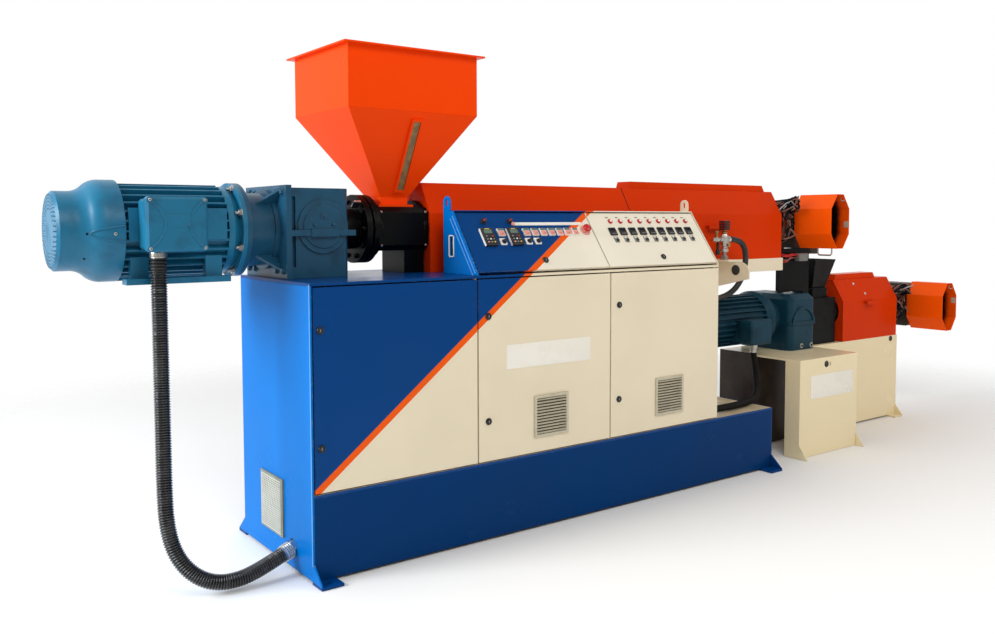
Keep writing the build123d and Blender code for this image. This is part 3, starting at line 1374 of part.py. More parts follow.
# Second drive: a two-part gearbox casting with a split flange and an arched rib, and its motor
gear_two_half = 215.0
gear_two_split = 172.0
gear_two_round = 40.0
gear_two_edge = 34.0
split_thick = 22.0
split_lip = 9.0
arch_radius = 122.0
arch_wide = 16.0
arch_proud = 9.0
hub_two_radius = 72.0
bell_two_radius = 185.0
bell_two_flange = 18.0
bell_two_waist = 112.0
bell_two_foot = 128.0
gear_two_mid = (gear_two_left + gear_two_right) / 2
gear_two_face = axis_y - gear_two_half
second_axis = Axis((0, axis_y, axis_z_two), (1, 0, 0))
with BuildPart() as second_gearbox:
    with BuildSketch(Plane.XY.offset(stage_two_deck)):
        with Locations((gear_two_mid, axis_y)):
            RectangleRounded(gear_two_length, 2 * gear_two_half, gear_two_round)
    extrude(amount=gear_two_height)
    chamfer(second_gearbox.faces().sort_by(Axis.Z)[-1].edges(), gear_two_edge)
    with BuildSketch(Plane.XY.offset(stage_two_deck + gear_two_split)):
        with Locations((gear_two_mid, axis_y)):
            RectangleRounded(gear_two_length, 2 * (gear_two_half + split_lip), gear_two_round)
    extrude(amount=split_thick)
    with BuildSketch(Plane.XZ.offset(-gear_two_face)):
        with Locations((gear_two_mid, stage_two_deck + gear_two_split)):
            Circle(arch_radius)
            Circle(arch_radius - arch_wide, mode=Mode.SUBTRACT)
        with Locations((gear_two_mid, stage_two_deck + gear_two_split - arch_radius / 2)):
            Rectangle(2 * arch_radius, arch_radius, mode=Mode.SUBTRACT)
    extrude(amount=arch_proud)
    with BuildSketch(Plane.XZ.offset(-axis_y)):
        with BuildLine():
            Polyline(
                (gear_two_left, axis_z_two), (gear_two_left, axis_z_two + bell_two_foot),
                (gear_two_left - bell_two_length / 2, axis_z_two + bell_two_waist),
                (motor_two_right + bell_two_flange, axis_z_two + bell_two_foot),
                (motor_two_right + bell_two_flange, axis_z_two + bell_two_radius),
                (motor_two_right, axis_z_two + bell_two_radius), (motor_two_right, axis_z_two), close=True)
        make_face()
    revolve(axis=second_axis)
    with BuildSketch(Plane.YZ.offset(gear_two_right)):
        with Locations((axis_y, axis_z_two)):
            Circle(hub_two_radius)
    extrude(amount=hub_two_length)
second_gearbox.part.label = "second_gearbox"
export_step(second_gearbox.part, "parts/second_gearbox.step")

cowl_two_length = 190.0
cowl_two_flat = 60.0
cowl_two_end = 132.0
cowl_two_bend = 160.0
cowl_two_radius = 176.0
shield_two_length = 50.0
fin_two_root = 145.0
fin_two_tip = 168.0
fin_two_count = 28
boss_two_face = -40.0
boss_two_wide = 180.0
boss_two_tall = 134.0
boss_two_deep = 110.0
box_two_in = 495.0
box_two_drop = 52.0
box_two_x = motor_two_left + box_two_in
box_two_z = axis_z_two - box_two_drop
frame_two_left = motor_two_left + cowl_two_length
with BuildPart() as second_motor:
    with BuildSketch(Plane.YZ.offset(frame_two_left)):
        with Locations((axis_y, axis_z_two)):
            Circle(fin_two_root)
            with PolarLocations((fin_two_root + fin_two_tip - fin_sink) / 2, fin_two_count):
                Rectangle(fin_two_tip - fin_two_root + fin_sink, fin_thick)
    extrude(amount=motor_two_right - shield_two_length - frame_two_left)
    with BuildSketch(Plane.XZ.offset(-axis_y)):
        with BuildLine():
            Polyline(
                (motor_two_left, axis_z_two), (motor_two_left, axis_z_two + cowl_two_end),
                (motor_two_left + cowl_two_flat, axis_z_two + cowl_two_bend),
                (motor_two_left + 2 * cowl_two_flat, axis_z_two + cowl_two_radius),
                (frame_two_left, axis_z_two + cowl_two_radius), (frame_two_left, axis_z_two), close=True)
        make_face()
    revolve(axis=second_axis)
    with BuildSketch(Plane.XZ.offset(-axis_y)):
        with BuildLine():
            Polyline(
                (motor_two_right, axis_z_two), (motor_two_right, axis_z_two + bell_two_radius),
                (motor_two_right - bell_two_flange, axis_z_two + bell_two_radius),
                (motor_two_right - shield_two_length, axis_z_two + fin_two_tip),
                (motor_two_right - shield_two_length, axis_z_two), close=True)
        make_face()
    revolve(axis=second_axis)
    with BuildSketch(Plane.XZ.offset(-boss_two_face)):
        with Locations((box_two_x, box_two_z)):
            Rectangle(boss_two_wide, boss_two_tall)
    extrude(amount=-boss_two_deep)
second_motor.part.label = "second_motor"
export_step(second_motor.part, "parts/second_motor.step")

box_two_wide = 206.0
box_two_tall = 160.0
box_two_deep = 95.0
with BuildPart() as second_terminal_box:
    with BuildSketch(Plane.XZ.offset(-boss_two_face)):
        with Locations((box_two_x, box_two_z)):
            Rectangle(box_two_wide, box_two_tall)
    extrude(amount=box_two_deep)
    chamfer(second_terminal_box.edges().filter_by(Axis.Y), box_edge)
    chamfer(second_terminal_box.faces().sort_by(Axis.Y)[0].edges(), box_edge)
second_terminal_box.part.label = "second_terminal_box"
export_step(second_terminal_box.part, "parts/second_terminal_box.step")

# Second base: a welded box whose end plates flare out to foot plates
base_two_half = cover_half
flare_two = 60.0
base_two_mid = (base_two_left + base_two_right) / 2
base_two_span = base_two_right - base_two_left
with BuildPart() as second_base:
    with BuildSketch(Plane.XY.offset(foot_pad)):
        with Locations((base_two_mid, axis_y)):
            Rectangle(base_two_span, 2 * base_two_half)
    extrude(amount=stage_two_deck - foot_pad)
    with BuildSketch(Plane.YZ.offset(base_two_left)):
        with BuildLine():
            Polyline(
                (axis_y - base_two_half - flare_two, foot_pad), (axis_y - base_two_half, flare_height),
                (axis_y + base_two_half, flare_height), (axis_y + base_two_half + flare_two, foot_pad), close=True)
        make_face()
    extrude(amount=end_plate)
    with BuildSketch(Plane.YZ.offset(base_two_right - end_plate)):
        with BuildLine():
            Polyline(
                (axis_y - base_two_half - flare_two, foot_pad), (axis_y - base_two_half, flare_height),
                (axis_y + base_two_half, flare_height), (axis_y + base_two_half + flare_two, foot_pad), close=True)
        make_face()
    extrude(amount=end_plate)
    with BuildSketch(Plane.XY):
        with Locations((base_two_mid, axis_y)):
            with GridLocations(base_two_span - foot_length, 2 * base_two_half, 2, 2):
                Rectangle(foot_length, 2 * flare_two)
            with GridLocations(base_two_span - foot_length, 2 * base_two_half + flare_two, 2, 2):
                Circle(anchor_hole / 2, mode=Mode.SUBTRACT)
    extrude(amount=foot_pad)
second_base.part.label = "second_base"
export_step(second_base.part, "parts/second_base.step")

# Table in front of the second base: a front panel with short returns that flare to the floor
table_reach = 365.0
table_return = 110.0
table_flare = 62.0
table_top = 12.0
table_hole = 27.0
table_hole_in = 313.0
table_hole_drop = 46.0
table_front = axis_y - base_two_half - table_reach
table_mid = (table_left + table_right) / 2
with BuildPart() as table:
    with BuildSketch(Plane.XZ.offset(-table_front)):
        with Locations((table_mid, stage_two_deck / 2)):
            Rectangle(table_width, stage_two_deck)
        with Locations((table_left + table_hole_in, stage_two_deck - table_hole_drop)):
            Circle(table_hole / 2, mode=Mode.SUBTRACT)
    extrude(amount=-sheet)
    with BuildSketch(Plane.YZ.offset(table_left)):
        with BuildLine():
            Polyline(
                (table_front - table_flare, 0), (table_front, flare_height), (table_front, stage_two_deck),
                (table_front + table_return, stage_two_deck), (table_front + table_return, 0), close=True)
        make_face()
    extrude(amount=sheet)
    with BuildSketch(Plane.YZ.offset(table_right - sheet)):
        with BuildLine():
            Polyline(
                (table_front - table_flare, 0), (table_front, flare_height), (table_front, stage_two_deck),
                (table_front + table_return, stage_two_deck), (table_front + table_return, 0), close=True)
        make_face()
    extrude(amount=sheet)
    with BuildSketch(Plane.XY.offset(stage_two_deck - table_top)):
        with Locations((table_mid, table_front + table_reach / 2)):
            Rectangle(table_width, table_reach)
    extrude(amount=table_top)
table.part.label = "table"
export_step(table.part, "parts/table.step")

# Bracket on the rail: an upright plate with a rounded nose under a small shelf, for the water valve
bracket_lead = 374.0
bracket_thick = 8.0
bracket_reach = 300.0
bracket_drop = 170.0
bracket_hole = 60.0
bracket_hole_in = 200.0
bracket_hole_drop = 50.0
bracket_nose = 70.0
shelf_wide = 110.0
shelf_deep = 190.0
shelf_thick = 12.0
bracket_x = cabinet_right + bracket_lead
shelf_top = bed_top + shelf_thick
with BuildPart() as bracket:
    with BuildSketch(Plane.YZ.offset(bracket_x)):
        with BuildLine():
            Polyline(
                (cover_front, bed_top), (cover_front - bracket_reach + bracket_nose, bed_top))
            TangentArc(
                (cover_front - bracket_reach + bracket_nose, bed_top),
                (cover_front - bracket_reach, bed_top - bracket_nose), tangent=(-1, 0))
            Polyline(
                (cover_front - bracket_reach, bed_top - bracket_nose),
                (cover_front - bracket_reach, bed_top - bracket_drop + bracket_nose),
                (cover_front, bed_top - bracket_drop), (cover_front, bed_top))
        make_face()
        with Locations((cover_front - bracket_hole_in, bed_top - bracket_hole_drop)):
            Circle(bracket_hole / 2, mode=Mode.SUBTRACT)
    extrude(amount=bracket_thick)
    with BuildSketch(Plane.XY.offset(bed_top)):
        with Locations((bracket_x, cover_front - shelf_deep / 2)):
            Rectangle(shelf_wide, shelf_deep)
    extrude(amount=shelf_thick)
bracket.part.label = "bracket"
export_step(bracket.part, "parts/bracket.step")

valve_y = -125.0
valve_stem = 18.0
valve_body = 30.0
valve_stem_tall = 40.0
valve_body_tall = 120.0
coil_rise = 178.0
coil_tall = 62.0
coil_wide = 46.0
valve_lead = 17.0
port_radius = 22.0
port_rise = 123.0
port_reach = 57.0
valve_x = bracket_x - valve_lead
with BuildPart() as valve:
    with BuildSketch(Plane.XY.offset(shelf_top)):
        with Locations((valve_x, valve_y)):
            Circle(valve_stem)
    extrude(amount=coil_rise)
    with BuildSketch(Plane.XY.offset(shelf_top + valve_stem_tall)):
        with Locations((valve_x, valve_y)):
            RegularPolygon(valve_body, 6)
    extrude(amount=valve_body_tall)
    with BuildSketch(Plane.XY.offset(shelf_top + coil_rise)):
        with Locations((valve_x, valve_y)):
            Rectangle(coil_wide, coil_wide)
    extrude(amount=coil_tall)
    with BuildSketch(Plane.YZ.offset(valve_x)):
        with Locations((valve_y, shelf_top + port_rise)):
            Circle(port_radius)
    extrude(amount=port_reach)
valve.part.label = "valve"
export_step(valve.part, "parts/valve.step")

# Conduits and the water hose: each runs along straight lines joined by tangent arcs
conduit_radius = 32.0
second_conduit_radius = 21.0
hose_radius = 18.0
gland_drop = 85.0
gland_two_drop = 50.0
side_gland = 60.0
gland_in = 58.0
gland_two_in = 76.0
gland_x = box_x - box_wide / 2 + gland_in
gland_y = boss_face - box_deep / 2
gland_top = box_z - box_tall / 2
gland_two_x = box_two_x - box_two_wide / 2 + gland_two_in
gland_two_y = boss_two_face - box_two_deep / 2
gland_two_top = box_two_z - box_two_tall / 2
side_conduit_y = front + 75.0
side_conduit_z = deck_top + 30.0
side_hose_y = axis_y - 122.0
side_hose_z = bed_top - 226.0
side_x = cabinet_right + side_gland
entry_tilt = (0.90, 0.34, 0.27)
entry_reach = 66.0
entry_x = cabinet_left - entry_reach * entry_tilt[0]
entry_y = conduit_y - entry_reach * entry_tilt[1]
entry_z = conduit_z - entry_reach * entry_tilt[2]
gland_bottom = gland_top - gland_drop
port_x = valve_x + port_reach
port_z = shelf_top + port_rise
main_route = [
    (gland_x, gland_y, gland_bottom), (gland_x - 10, gland_y, 1070), (gland_x - 20, gland_y - 6, 835),
    (gland_x - 27, gland_y - 20, 630), (gland_x - 24, gland_y - 42, 440), (gland_x + 6, gland_y - 86, 275),
    (gland_x + 76, gland_y - 128, 150), (gland_x + 172, gland_y - 156, 72), (gland_x + 288, gland_y - 160, 44),
    (gland_x + 388, gland_y - 132, 60), (entry_x, entry_y, entry_z)]
second_route = [
    (gland_two_x, gland_two_y, gland_two_top - gland_two_drop), (gland_two_x + 8, gland_two_y - 8, 575),
    (gland_two_x - 12, gland_two_y - 38, 495), (gland_two_x - 72, gland_two_y - 92, 435),
    (gland_two_x - 170, gland_two_y - 150, 404), (gland_two_x - 290, gland_two_y - 192, 400),
    (gland_two_x - 415, gland_two_y - 214, 400), (gland_two_x - 530, side_conduit_y, 401),
    (side_x, side_conduit_y, side_conduit_z)]
hose_route = [
    (port_x, valve_y, port_z), (port_x + 66, valve_y + 1, port_z - 3), (port_x + 130, valve_y + 5, port_z - 36),
    (port_x + 164, valve_y + 13, port_z - 100), (port_x + 168, valve_y + 23, port_z - 180),
    (port_x + 150, valve_y + 37, port_z - 260), (port_x + 102, valve_y + 53, port_z - 325),
    (port_x + 26, valve_y + 73, port_z - 364), (port_x - 70, valve_y + 95, port_z - 376),
    (port_x - 175, valve_y + 117, port_z - 374), (port_x - 270, valve_y + 137, side_hose_z + 2),
    (side_x, side_hose_y, side_hose_z)]


def bend_radii(route):
    radii = []
    for before, here, after in zip(route, route[1:], route[2:]):
        run_in = Vector(*here) - Vector(*before)
        run_out = Vector(*after) - Vector(*here)
        half_turn = math.radians(run_in.get_angle(run_out)) / 2
        radii.append(0.45 * min(run_in.length, run_out.length) / math.tan(half_turn))
    print("bend radii", [round(radius) for radius in radii])
    return radii


with BuildPart() as main_conduit:
    with BuildLine() as main_path:
        FilletPolyline(*main_route, radius=bend_radii(main_route))
    with BuildSketch(Plane(origin=main_route[0], z_dir=main_path.line % 0)):
        Circle(conduit_radius)
    sweep(path=main_path.line)
main_conduit.part.label = "main_conduit"
export_step(main_conduit.part, "parts/main_conduit.step")
print("main conduit", round(main_path.wire().length), round(main_conduit.part.volume / conduit_radius ** 2 / math.pi))

with BuildPart() as second_conduit:
    with BuildLine() as second_path:
        FilletPolyline(*second_route, radius=bend_radii(second_route))
    with BuildSketch(Plane(origin=second_route[0], z_dir=second_path.line % 0)):
        Circle(second_conduit_radius)
    sweep(path=second_path.line)
second_conduit.part.label = "second_conduit"
export_step(second_conduit.part, "parts/second_conduit.step")
print("second conduit", round(second_path.wire().length),
      round(second_conduit.part.volume / second_conduit_radius ** 2 / math.pi))

with BuildPart() as valve_hose:
    with BuildLine() as hose_path:
        FilletPolyline(*hose_route, radius=bend_radii(hose_route))
    with BuildSketch(Plane(origin=hose_route[0], z_dir=hose_path.line % 0)):
        Circle(hose_radius)
    sweep(path=hose_path.line)
valve_hose.part.label = "valve_hose"
export_step(valve_hose.part, "parts/valve_hose.step")
print("valve hose", round(hose_path.wire().length), round(valve_hose.part.volume / hose_radius ** 2 / math.pi))

# Glands where the conduits and the hose enter a box or a wall, each seated on that face
gland_wall = 6.0
entry_plane = Plane(origin=(cabinet_left, conduit_y, conduit_z), z_dir=[-part for part in entry_tilt])
with BuildPart() as glands:
    with BuildSketch(Plane.XY.offset(gland_top)):
        with Locations((gland_x, gland_y)):
            RegularPolygon(conduit_radius + gland_wall, 6)
    extrude(amount=-gland_drop)
    with BuildSketch(Plane.XY.offset(gland_two_top)):
        with Locations((gland_two_x, gland_two_y)):
            RegularPolygon(second_conduit_radius + gland_wall, 6)
    extrude(amount=-gland_two_drop)
    with BuildSketch(entry_plane):
        Circle(conduit_radius + gland_wall)
    extrude(amount=entry_reach)
    with BuildSketch(entry_plane):
        Circle(conduit_radius + gland_wall)
    extrude(amount=-entry_reach / 2)
    with BuildSketch(Plane.YZ.offset(cabinet_left)):
        with Locations((conduit_y, conduit_z)):
            Rectangle(4 * conduit_radius, 4 * conduit_radius)
    extrude(amount=entry_reach, mode=Mode.SUBTRACT)
    with BuildSketch(Plane.YZ.offset(cabinet_left)):
        with Locations((conduit_y, conduit_z)):
            Circle(conduit_radius + 2 * gland_wall)
    extrude(amount=-2 * gland_wall)
    with BuildSketch(Plane.YZ.offset(cabinet_right)):
        with Locations((side_conduit_y, side_conduit_z)):
            Circle(second_conduit_radius + gland_wall)
    extrude(amount=side_gland)
    with BuildSketch(Plane.YZ.offset(cabinet_right)):
        with Locations((side_hose_y, side_hose_z)):
            Circle(hose_radius + gland_wall)
    extrude(amount=side_gland)
glands.part.label = "glands"
export_step(glands.part, "parts/glands.step")
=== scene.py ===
# %% [markdown]
# # A two-stage plastic extruder
# The machine melts plastic flakes twice. A hopper feeds the upper screw, the melt drops through an
# open funnel into a lower screw, and both screws end in a block behind an octagonal guard. The solids
# come from CAD. This lesson dresses them: paint, castings, conduits, bolts and the control desk.

# %% Load the frame
import json
import math
import random

import bmesh
import bpy
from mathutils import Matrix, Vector


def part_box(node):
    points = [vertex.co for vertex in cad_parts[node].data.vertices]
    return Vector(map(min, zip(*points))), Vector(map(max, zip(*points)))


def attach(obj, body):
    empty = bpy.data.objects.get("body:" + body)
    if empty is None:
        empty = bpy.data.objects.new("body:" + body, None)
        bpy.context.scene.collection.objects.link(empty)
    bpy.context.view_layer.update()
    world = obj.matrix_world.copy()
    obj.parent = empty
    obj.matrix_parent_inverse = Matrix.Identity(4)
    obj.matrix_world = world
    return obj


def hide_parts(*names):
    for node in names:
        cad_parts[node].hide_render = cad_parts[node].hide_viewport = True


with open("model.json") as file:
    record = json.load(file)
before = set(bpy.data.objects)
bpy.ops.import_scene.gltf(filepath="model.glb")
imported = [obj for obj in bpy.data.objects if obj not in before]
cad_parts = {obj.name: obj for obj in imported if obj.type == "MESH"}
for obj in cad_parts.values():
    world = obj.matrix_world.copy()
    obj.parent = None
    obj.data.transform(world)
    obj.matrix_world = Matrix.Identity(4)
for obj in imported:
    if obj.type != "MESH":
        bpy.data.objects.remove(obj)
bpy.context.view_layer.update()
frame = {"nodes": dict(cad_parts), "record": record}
nodes = frame["nodes"]

# %% [markdown]
# The camera stands at eye height near the motor end and looks along the machine. Its lens and shift were
# solved from the straight edges of the cabinet, so the solids fall on the same pixels as the real edges.
# A shifted lens is better here than turning the camera, because turning it would make the upright edges
# converge.

# %% Camera
photo_width = 995
focal_pixels = 913.6
shift_pixels = (-6.0, -44.1)
camera = bpy.data.objects.new("camera", bpy.data.cameras.new("camera"))
bpy.context.scene.collection.objects.link(camera)
camera.location = (-3.854, -3.825, 1.504)
camera.rotation_euler = (math.radians(86.711), math.radians(0.12), math.radians(-36.41))
camera.data.sensor_width = 36
camera.data.lens = focal_pixels * camera.data.sensor_width / photo_width
camera.data.shift_x = shift_pixels[0] / photo_width
camera.data.shift_y = shift_pixels[1] / photo_width
bpy.context.scene.camera = camera
bpy.context.scene.view_settings.view_transform = "Standard"
print("lens", round(camera.data.lens, 2))

# %% [markdown]
# Shader graphs are long when each node is made by hand. A small class around a socket lets us write
# them as sums and products: every operator adds one Math node. All other nodes come from one method,
# which sets the node's own settings first and then its sockets. A vector can be split into its parts.


# %% A socket that can be calculated with
class Wire:
    def __init__(self, tree, socket=None):
        self.tree = tree
        self.socket = socket

    def node(self, kind, settings=None, out=0, **inputs):
        made = self.tree.nodes.new(kind)
        for key, value in (settings or {}).items():
            setattr(made, key, value)
        for key, value in inputs.items():
            number = key[1:]
            socket = made.inputs[int(number) if number.isdigit() else key.replace("_", " ")]
            if isinstance(value, Wire):
                self.tree.links.new(value.socket, socket)
            else:
                socket.default_value = value
        return Wire(self.tree, made.outputs[out])

    def maths(self, operation, *values):
        inputs = {f"i{place}": value for place, value in enumerate(values)}
        return self.node("ShaderNodeMath", {"operation": operation}, **inputs)

    def __add__(self, other):
        return self.maths("ADD", self, other)

    def __radd__(self, other):
        return self.maths("ADD", other, self)

    def __sub__(self, other):
        return self.maths("SUBTRACT", self, other)

    def __rsub__(self, other):
        return self.maths("SUBTRACT", other, self)

    def __mul__(self, other):
        return self.maths("MULTIPLY", self, other)

    def __gt__(self, other):
        return self.maths("GREATER_THAN", self, other)

    def __lt__(self, other):
        return self.maths("LESS_THAN", self, other)

    def size(self):
        return self.maths("ABSOLUTE", self)

    def step(self, low, high):
        settings = {"interpolation_type": "SMOOTHSTEP"}
        return self.node("ShaderNodeMapRange", settings, Value=self, From_Min=low, From_Max=high)

    def tint(self, under, over):
        return self.node("ShaderNodeMix", {"data_type": "RGBA"}, out=2, i0=self, i6=under, i7=over)

    def parts(self):
        split = self.node("ShaderNodeSeparateXYZ", Vector=self)
        return [Wire(self.tree, socket) for socket in split.socket.node.outputs]


def paint_code(red, green, blue):
    parts = [c / 255 for c in (red, green, blue)]
    return tuple(c / 12.92 if c < 0.04045 else ((c + 0.055) / 1.055) ** 2.4 for c in parts) + (1.0,)


print("blue paint as linear light", [round(c, 3) for c in paint_code(0, 62, 126)])

# %% [markdown]
# Every finish starts from the same base: a Principled shader, the place on the object in metres, and a
# rounded normal. The Bevel node rounds the sharp CAD edges in the shading alone, and where its normal
# leaves the true one there is an edge, which is where paint wears first.


# %% The start of a finish
def start_finish(name, edge=0.003):
    material = bpy.data.materials.new(name)
    material.use_nodes = True
    tree = material.node_tree
    tree.nodes.clear()
    wire = Wire(tree)
    shader = tree.nodes.new("ShaderNodeBsdfPrincipled")
    output = tree.nodes.new("ShaderNodeOutputMaterial")
    tree.links.new(shader.outputs[0], output.inputs[0])
    place = wire.node("ShaderNodeTexCoord", out="Object")
    rounded = wire.node("ShaderNodeBevel", {"samples": 4}, Radius=edge)
    flat = wire.node("ShaderNodeNewGeometry", out="Normal")
    along = wire.node("ShaderNodeVectorMath", {"operation": "DOT_PRODUCT"}, out="Value", i0=rounded, i1=flat)
    worn = (1 - along).step(0.02, 0.22)
    return material, wire, shader, place, rounded, worn


def feed(wire, shader, **sockets):
    for key, value in sockets.items():
        socket = shader.inputs[key.replace("_", " ")]
        if isinstance(value, Wire):
            wire.tree.links.new(value.socket, socket)
        else:
            socket.default_value = value


def grain(wire, place, scale, detail=3.0):
    return wire.node("ShaderNodeTexNoise", None, "Fac", Vector=place, Scale=scale, Detail=detail)


def relief(wire, height, rounded, strength, depth):
    return wire.node("ShaderNodeBump", Strength=strength, Distance=depth, Height=height, Normal=rounded)


# %% [markdown]
# The sheet metal is sprayed with two-part gloss paint. Close up such paint has an orange-peel ripple,
# and from a few metres it shows faint clouds where the film is thicker, wiped smears in the gloss, and
# small chips along the folds. Each of these is one noise at its own scale.


# %% Gloss paint on sheet metal
def sheet_paint(name, shade, thin, gloss=0.2, chip=(0.30, 0.28, 0.26, 1), level=0.09, edge=0.003):
    material, wire, shader, place, rounded, worn = start_finish(name, edge)
    if callable(shade):
        shade = shade(wire, place)
    cloud = grain(wire, place, 1.7).step(0.34, 0.70)
    smear = grain(wire, place, 3.2, 3.0).step(0.30, 0.75)
    peel = grain(wire, place, 420.0, 1.0)
    chips = worn * (grain(wire, place, 60.0, 4.0) > 0.60)
    body = (cloud * thin).tint(shade, (0.02, 0.02, 0.025, 1))
    feed(wire, shader, Base_Color=(chips * 0.6).tint(body, chip))
    feed(wire, shader, Roughness=gloss + smear * 0.08 + chips * 0.3)
    feed(wire, shader, Normal=relief(wire, peel, rounded, 0.10, 0.0004))
    feed(wire, shader, Specular_IOR_Level=level)
    return material


blue_code = paint_code(0, 62, 126)
cream_code = paint_code(233, 221, 195)
desk_code = paint_code(238, 231, 214)
inner_code = paint_code(206, 196, 173)
base_code = paint_code(240, 224, 186)
orange_code = paint_code(244, 68, 4)
stripe_code = paint_code(240, 92, 14)
blue_paint = sheet_paint("blue_gloss", blue_code, 0.10)
# The sheets at the motor end take a brighter copy of the blue: painted light from that end.
end_blue_painted_light = sheet_paint("blue_end_painted_light_gloss", paint_code(0, 109, 191), 0.08, level=0.03, edge=0.009)
# The plinth takes a darker copy of the blue: painted shade low by the floor.
plinth_blue_painted_shade = sheet_paint("blue_plinth_painted_shade_gloss", paint_code(0, 54, 110), 0.10, level=0.05)
cream_paint = sheet_paint("cream_gloss", cream_code, 0.03, level=0.3)
base_paint = sheet_paint("base_cream_gloss", base_code, 0.03, level=0.3)
orange_paint = sheet_paint("orange_gloss", orange_code, 0.05, chip=(0.20, 0.09, 0.06, 1), level=0.05)
print("plain gloss paints:", blue_paint.name, cream_paint.name, orange_paint.name)

# %% [markdown]
# A slanting orange band runs over the doors and on up the desk. Above it the sheets are blue and below
# it they are cream. The band was masked and sprayed over shut doors, so it is one straight line in the
# upright plane and a flatter one on the sloping desk. A signed distance from each line picks the colour:
# the height over the line, times a factor that makes it square to the band. On the desk the factor is
# over one, because a height is shorter than the slope that climbs it.
# The desk's cream is a little whiter than the doors', and the inner faces of doors and lids are duller.
# A face is an inner one where it lies on the plane of the sheets' backs, upright or sloping.

# %% The slanting band
door_line = (-2.283, 0.375)
door_rise, door_square = 0.782, 0.788
desk_line = (-1.203, 1.2323)
desk_rise, desk_square = 0.5285, 1.018
half_band = 0.0146
desk_begins = 1.252
desk_corner = (-0.385, 1.258)
desk_slope = (0.5867, 0.8099)
sheet_thick = 0.003
on_plane = 0.0003
hood_begins = 1.541


def banded(wire, place):
    across, deep, high = place.parts()
    door_gap = (high - door_line[1] - (across - door_line[0]) * door_rise) * door_square
    desk_gap = (high - desk_line[1] - (across - desk_line[0]) * desk_rise) * desk_square
    in_desk = high > desk_begins
    gap = door_gap + (desk_gap - door_gap) * in_desk
    blue_side = (gap > 0.0).tint(in_desk.tint(cream_code, desk_code), blue_code)
    front = ((gap.size() < half_band) * (deep < 0.0)).tint(blue_side, stripe_code)
    door_back = deep - desk_corner[0] - sheet_thick
    desk_depth = (high - desk_corner[1]) * desk_slope[0] - (deep - desk_corner[0]) * desk_slope[1]
    skin = door_back + (desk_depth + sheet_thick - door_back) * in_desk
    return (skin.size() < on_plane).tint(front, inner_code)


def hood_shade(wire, place):
    high = place.parts()[2]
    return (high > hood_begins).tint(cream_code, banded(wire, place))


banded_paint = sheet_paint("banded_gloss", banded, 0.06)
hood_paint = sheet_paint("hood_gloss", hood_shade, 0.06)
print("banded paint:", banded_paint.name, hood_paint.name)

# %% [markdown]
# The motors and gearboxes are iron castings under one coat of blue. Sand casting leaves a pebbled skin,
# so the bump is coarser and stronger than on sheet metal, oil darkens the hollows, and the gloss is lower.


# %% Painted castings
def casting_paint(name, shade, oil, gloss, pebble, level=0.28):
    material, wire, shader, place, rounded, worn = start_finish(name, 0.004)
    skin = grain(wire, place, 170.0, 4.0)
    stain = grain(wire, place, 9.0, 6.0).step(0.48, 0.72)
    chips = worn * (grain(wire, place, 75.0, 4.0) > 0.58)
    body = (stain * 0.45).tint(shade, oil)
    feed(wire, shader, Base_Color=(chips * 0.5).tint(body, (0.22, 0.30, 0.34, 1)))
    feed(wire, shader, Roughness=gloss + stain * 0.14 + skin * 0.08, Specular_IOR_Level=level)
    feed(wire, shader, Normal=relief(wire, skin, rounded, pebble, 0.0012))
    return material


drive_paint = casting_paint("drive_blue", paint_code(26, 106, 140), paint_code(12, 68, 96), 0.28, 0.10)
gear_paint = casting_paint("gear_blue", paint_code(26, 76, 104), paint_code(10, 44, 64), 0.26, 0.16)
dark_drive = casting_paint("second_drive_blue", paint_code(18, 58, 76), paint_code(5, 24, 34), 0.3, 0.2, 0.15)
black_casting = casting_paint("black_casting", paint_code(5, 5, 6), paint_code(2, 2, 2), 0.3, 0.2, 0.12)
print("castings:", drive_paint.name, gear_paint.name, dark_drive.name, black_casting.name)

# %% [markdown]
# Bare steel shows the tool that cut it. Turned and milled faces carry fine parallel marks, so a noise
# stretched along one direction drives both the roughness and a very small bump. Near the heated barrel
# the steel is straw to brown, and the mica heater bands are a dull reddish brown.


# %% Bare and heated steel
def bare_steel(name, shade, heat, rough, metal=1.0):
    material, wire, shader, place, rounded, worn = start_finish(name, 0.0015)
    stretched = wire.node("ShaderNodeMapping", None, 0, Vector=place, Scale=(40.0, 700.0, 700.0))
    marks = grain(wire, stretched, 1.0, 2.0)
    tinted = grain(wire, place, 11.0, 5.0).step(0.42, 0.70)
    feed(wire, shader, Base_Color=(tinted * 0.7).tint(shade, heat), Metallic=metal)
    feed(wire, shader, Roughness=rough + marks * 0.16 + tinted * 0.1)
    feed(wire, shader, Normal=relief(wire, marks, rounded, 0.12, 0.0003))
    return material


steel = bare_steel("machined_steel", (0.46, 0.45, 0.44, 1), (0.27, 0.23, 0.20, 1), 0.24)
zinc = bare_steel("zinc_plate", (0.62, 0.61, 0.58, 1), (0.45, 0.41, 0.35, 1), 0.22)
hot_steel = bare_steel("heated_steel", (0.20, 0.14, 0.11, 1), (0.10, 0.06, 0.05, 1), 0.36, 0.85)
band_metal = bare_steel("heater_band", (0.24, 0.085, 0.045, 1), (0.05, 0.028, 0.022, 1), 0.42, 0.55)
# A near-black copy of the heated steel for the screen changers and the transfer head.
darkest_steel = bare_steel("darkest_steel", (0.085, 0.062, 0.052, 1), (0.035, 0.026, 0.022, 1), 0.42, 0.7)
print("metals:", steel.name, zinc.name, hot_steel.name, band_metal.name, darkest_steel.name)

# %% [markdown]
# Rubber and moulded plastic finish the set. They differ mostly in gloss and in the size of their grain,
# so one function with a few numbers makes them all. Dust lies in the grain of the matt ones, which keeps
# them from reading as flat colour.


